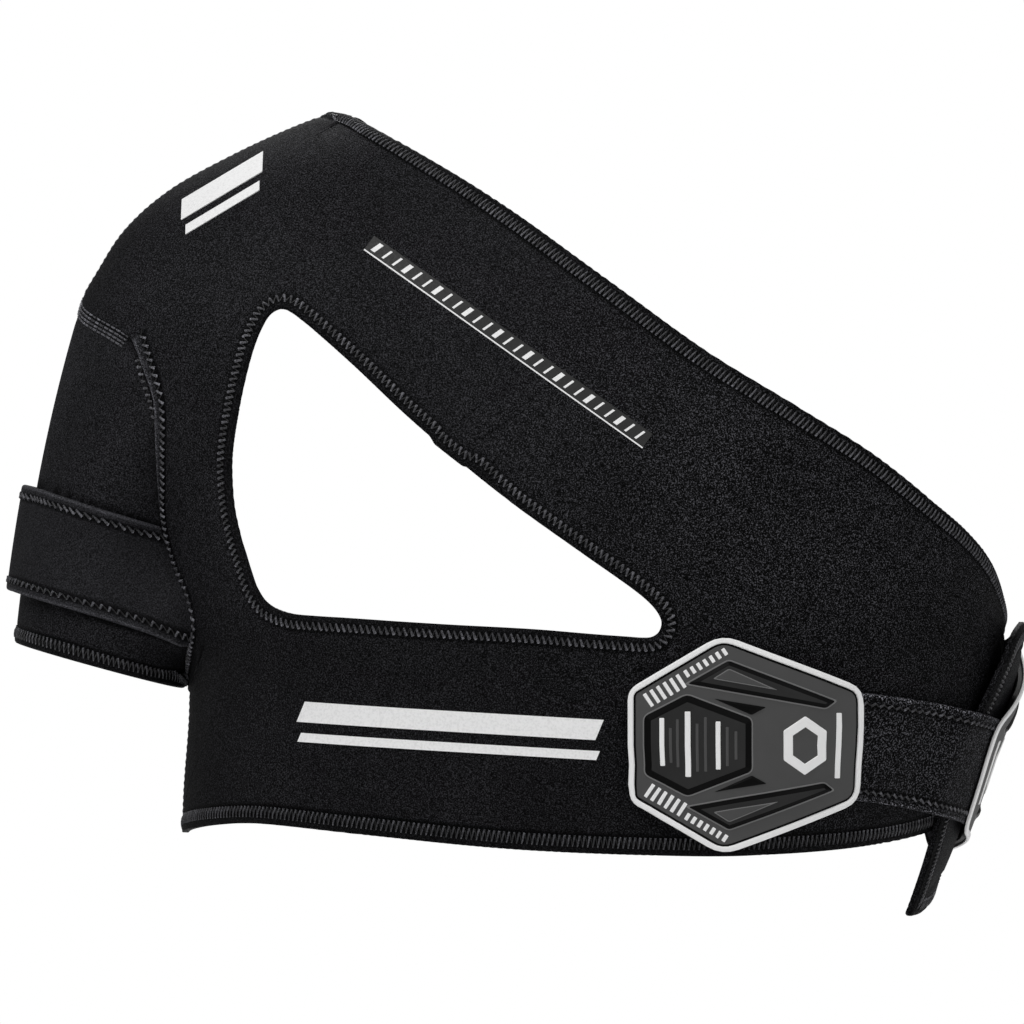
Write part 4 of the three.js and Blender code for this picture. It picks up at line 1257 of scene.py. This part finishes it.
def turned_over(points):
    return [(u, -v) for u, v in points][::-1]


def bar(centre, direction, length, width):
    (u, v), (a, b) = centre, direction
    l, w = length / 2, width / 2
    return [(u - a * l + b * w, v - b * l - a * w), (u + a * l + b * w, v + b * l - a * w),
            (u + a * l - b * w, v + b * l + a * w), (u - a * l - b * w, v - b * l + a * w)]


PATCH_EDGE = [(-54, -25.5), (-11, -50.5), (55.2, -26), (55.2, 26), (-11, 50.5), (-54, 25.5)]
PATCH_BASE = [(-54, -25.5), (-11, -50.5), (40.2, -31.55), (40.2, 31.55), (-11, 50.5), (-54, 25.5)]
PATCH_CORNERS = (5, 8, 8, 8, 8, 5)
HEXAGON = [(-46.5, -13.2), (-27, -23.3), (2.8, -12), (2.8, 12), (-27, 23.3), (-46.5, 13.2)]
WEDGE = [(-26.5, 28.2), (36.5, 17.2), (41, 20.4), (-7.8, 38.5)]
WEDGE_INLAY = [(-14.2, 30.6), (11.6, 26.3), (-7.7, 34.6)]
SMALL_WEDGE = [(-14.4, 21.4), (2.8, 13.9), (9.4, 17.5)]
TICK_WAY = (0.555, -0.832)
TICKS = ((6, 6.9, (-44.5, 20.8), (-29.6, 29.3)), (7, 3.5, (-27, 32.7), (-9.6, 42.5)))
RIBS = ((-38.5, 1.6, 22, 2.2), (-26.7, 0.6, 30, 2.6), (-12.8, 0, 22, 2.2))
FAINT_RIBS = (
    (-34.6, 0, 16), (-31.4, 1, 22), (-22.4, -1, 22), (-18.6, 0.5, 25), (-8.6, -0.5, 18), (-4.6, 0, 13),
)
BADGE_U, BADGE_RADIUS, BADGE_SQUEEZE, BADGE_RING = 27, 13.5, 0.85, 4.2
UP = (0, 1)
BADGE_BAR = ((43, 0), UP, 30, 2.6)
BLACK, DARK, GREY, WHITE, LIP_HIGHLIGHT = range(5)
# Lips round the hexagon and the wedges: raised rings whose light colour is a painted highlight along the
# forms' edges.
LIP = [(-0.75, 4.1), (-0.65, 4.55), (-0.3, 4.65), (0.1, 4.5), (0.1, 4.1)]
INLAY_LIP = [(-0.45, 5.2), (-0.35, 5.75), (0.05, 5.8), (0.15, 5.2)]
# Profiles of (inset, height). All the forms that stand on the field start a little below its face.
FIELD = 4.4
LOW = FIELD - 0.3
BODY_SIDE = [(1.6, 0.7), (0.9, 1.4), (0.9, 3.5)]
PLATE_SIDE = [(0.6, 3.2), (0.1, 3.5), (0.1, 3.8), (0.5, 4.0)]
RIM = [(0.15, 3.7), (0.0, 4.2), (0.1, 4.8), (0.6, 5.2), (2.1, 5.2), (2.55, 4.9), (2.7, 4.4), (2.7, 3.7)]
FIELD_SIDE = [(3.7, 3.8), (3.7, 4.2), (4.0, FIELD)]
HEXAGON_SIDE = [(0, LOW), (0, FIELD + 0.15), (2.6, 5.6), (3.0, 5.75)]
WEDGE_SIDE = [(0, LOW), (0, FIELD + 0.2), (1.7, 5.5), (1.9, 5.6)]
INLAY_SIDE = [(0, 5.2), (0, 5.65), (0.35, 5.85)]
SMALL_WEDGE_SIDE = [(0, LOW), (0, FIELD + 0.2), (0.8, 5.1)]
TICK_WIDTH, TICK_SIDE = 1.7, [(0, LOW), (0, 4.6), (0.2, 4.75)]
RIB_SIDE = [(0, 5.4), (0, 5.9), (0.25, 6.05)]
FAINT_WIDTH, FAINT_SIDE = 1.3, [(0, 5.4), (0, 5.85), (0.2, 5.95)]
BADGE_SIDE = [(0, LOW), (0, 4.6), (0.25, 4.8)]
BADGE_HOLE = [(BADGE_RING - 0.25, 4.8), (BADGE_RING, 4.6), (BADGE_RING, LOW)]
PATCH_SHARP = math.radians(28)
# Cuts across a patch, so that it bends: the first, past the last, and the spacing, along u and along v
CUTS_U, CUTS_V = (-52, 56, 4.0), (-45, 46, 9.0)


def flat_patch():
    """The patch as points, triangles and a material index for each triangle."""
    bm = bmesh.new()
    moulded(bm, PATCH_BASE, PATCH_CORNERS, BODY_SIDE, BLACK)
    moulded(bm, PATCH_EDGE, PATCH_CORNERS, PLATE_SIDE, BLACK)
    moulded(bm, PATCH_EDGE, PATCH_CORNERS, RIM, WHITE, hollow=True)
    moulded(bm, PATCH_EDGE, PATCH_CORNERS, FIELD_SIDE, GREY)
    moulded(bm, HEXAGON, 2.2, LIP, LIP_HIGHLIGHT, hollow=True)
    moulded(bm, HEXAGON, 2.2, HEXAGON_SIDE, BLACK, cap_material=DARK)
    for shape in (lambda points: points, turned_over):
        moulded(bm, shape(WEDGE), 1.2, WEDGE_SIDE, BLACK, cap_material=DARK)
        moulded(bm, shape(WEDGE), 1.2, LIP, LIP_HIGHLIGHT, hollow=True)
        moulded(bm, shape(WEDGE_INLAY), 0.8, INLAY_LIP, LIP_HIGHLIGHT, hollow=True)
        moulded(bm, shape(WEDGE_INLAY), 0.8, INLAY_SIDE, GREY)
        moulded(bm, shape(SMALL_WEDGE), 0.7, SMALL_WEDGE_SIDE, BLACK)
        for count, length, first, last in TICKS:
            for k in range(count):
                centre = np.array(first) + (np.array(last) - first) * k / (count - 1)
                moulded(bm, shape(bar(centre, TICK_WAY, length, TICK_WIDTH)), 0.3, TICK_SIDE, WHITE)
    for u, v, length, width in RIBS:
        moulded(bm, bar((u, v), UP, length, width), 0.4, RIB_SIDE, WHITE)
    for u, v, length in FAINT_RIBS:
        moulded(bm, bar((u, v), UP, length, FAINT_WIDTH), 0.3, FAINT_SIDE, GREY)
    turns = [math.radians(60 * k - 90) for k in range(6)]
    squeezed = BADGE_RADIUS * BADGE_SQUEEZE
    badge = [(BADGE_U + squeezed * math.cos(a), BADGE_RADIUS * math.sin(a)) for a in turns]
    moulded(bm, badge, 0.6, BADGE_SIDE + BADGE_HOLE, WHITE, hollow=True)
    moulded(bm, bar(*BADGE_BAR), 0.4, BADGE_SIDE, WHITE)
    cuts = [((u, 0, 0), (1, 0, 0)) for u in np.arange(*CUTS_U)]
    cuts += [((0, v, 0), (0, 1, 0)) for v in np.arange(*CUTS_V)]
    for point, way in cuts:
        whole = bm.verts[:] + bm.edges[:] + bm.faces[:]
        bmesh.ops.bisect_plane(bm, geom=whole, plane_co=point, plane_no=way, dist=1e-4)
    bmesh.ops.triangulate(bm, faces=bm.faces[:])
    bm.verts.index_update()
    points = np.array([v.co for v in bm.verts])
    faces = np.array([[v.index for v in f.verts] for f in bm.faces])
    index = np.array([f.material_index for f in bm.faces])
    bm.free()
    return points, faces, index


def bent_patch(name, place, rise, at_back):
    points, faces, index = flat_patch()
    girth, z = place(points[:, 0], points[:, 1])
    bent = raised(body_point(girth, z), body_frame(girth, z)[2], points[:, 2] + rise(girth, z))
    mesh = flipped((bent, [faces])) if at_back else (bent, [faces])
    materials = [BLACK_RUBBER, DARK_RUBBER, GREY_RUBBER, WHITE_RUBBER, LIP_HIGHLIGHT_RUBBER]
    piece = make(name, *mesh, materials, index, PATCH_SHARP)
    return piece


front_moulding = bent_patch("front_moulding", front_patch_place, no_rise, False)
back_moulding = bent_patch("back_moulding", back_patch_place, flap_rise, True)

for piece, node in (
    (front_cloth, "front_panel"), (back_cloth, "back_panel"), (sleeve_cloth, "sleeve"),
    (arm_band, "arm_strap"), (side_band, "side_strap"),
    (front_moulding, "front_patch"), (back_moulding, "back_patch"),
):
    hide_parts(node)

# Camera, light and floor, in metres
SENSOR = 36.0
CAMERA_AWAY = 5.0
VIEW_WIDTH = 0.4813
VIEW_X, VIEW_Z = 0.1175, -0.170
CENTRE = (0.12, 0, -0.17)
BACKDROP_LIGHT = 0.26
FLOOR_HEIGHT, FLOOR_REACH, FLOOR_CELLS = -0.75, 6, 8
camera = bpy.data.cameras.new("camera")
camera.sensor_width = SENSOR
camera.lens = SENSOR * CAMERA_AWAY / VIEW_WIDTH
camera.clip_end = 100
camera_object = placed("camera", camera)
camera_object.location = (VIEW_X, -CAMERA_AWAY, VIEW_Z)
camera_object.rotation_euler = (math.pi / 2, 0, 0)
bpy.context.scene.camera = camera_object


def softbox(name, place, size, power):
    light = bpy.data.lights.new(name, "AREA")
    light.shape = "RECTANGLE"
    light.size, light.size_y = size
    light.energy = power
    obj = placed(name, light)
    obj.location = place
    obj.rotation_euler = (Vector(CENTRE) - Vector(place)).to_track_quat("-Z", "Y").to_euler()
    obj.visible_camera = False


softbox("key", (-1.0, -1.6, 2.5), (1.6, 1.6), 62)
softbox("fill", (2.0, -1.9, 1.2), (1.4, 1.8), 14)
softbox("back", (0.6, 2.4, 1.7), (2.0, 1.6), 52)

# The backdrop is white to the camera, and lights the part less than it shows.
world = bpy.data.worlds.new("studio")
world.use_nodes = True
tree = world.node_tree
background = tree.nodes["Background"]
background.inputs["Color"].default_value = (1, 1, 1, 1)
seen = tree.nodes.new("ShaderNodeLightPath")
strength = tree.nodes.new("ShaderNodeMapRange")
strength.inputs["To Min"].default_value = BACKDROP_LIGHT
strength.inputs["To Max"].default_value = 1.0
tree.links.new(seen.outputs["Is Camera Ray"], strength.inputs["Value"])
tree.links.new(strength.outputs["Result"], background.inputs["Strength"])
bpy.context.scene.world = world
bpy.context.scene.view_settings.view_transform = "Standard"

floor_mesh = bpy.data.meshes.new("floor")
cells = bmesh.new()
bmesh.ops.create_grid(cells, x_segments=FLOOR_CELLS, y_segments=FLOOR_CELLS, size=FLOOR_REACH)
bmesh.ops.translate(cells, verts=cells.verts, vec=(CENTRE[0], 0, FLOOR_HEIGHT))
cells.to_mesh(floor_mesh)
cells.free()
floor_mesh.materials.append(floor_material())
floor = placed("floor", floor_mesh)

bpy.context.view_layer.update()
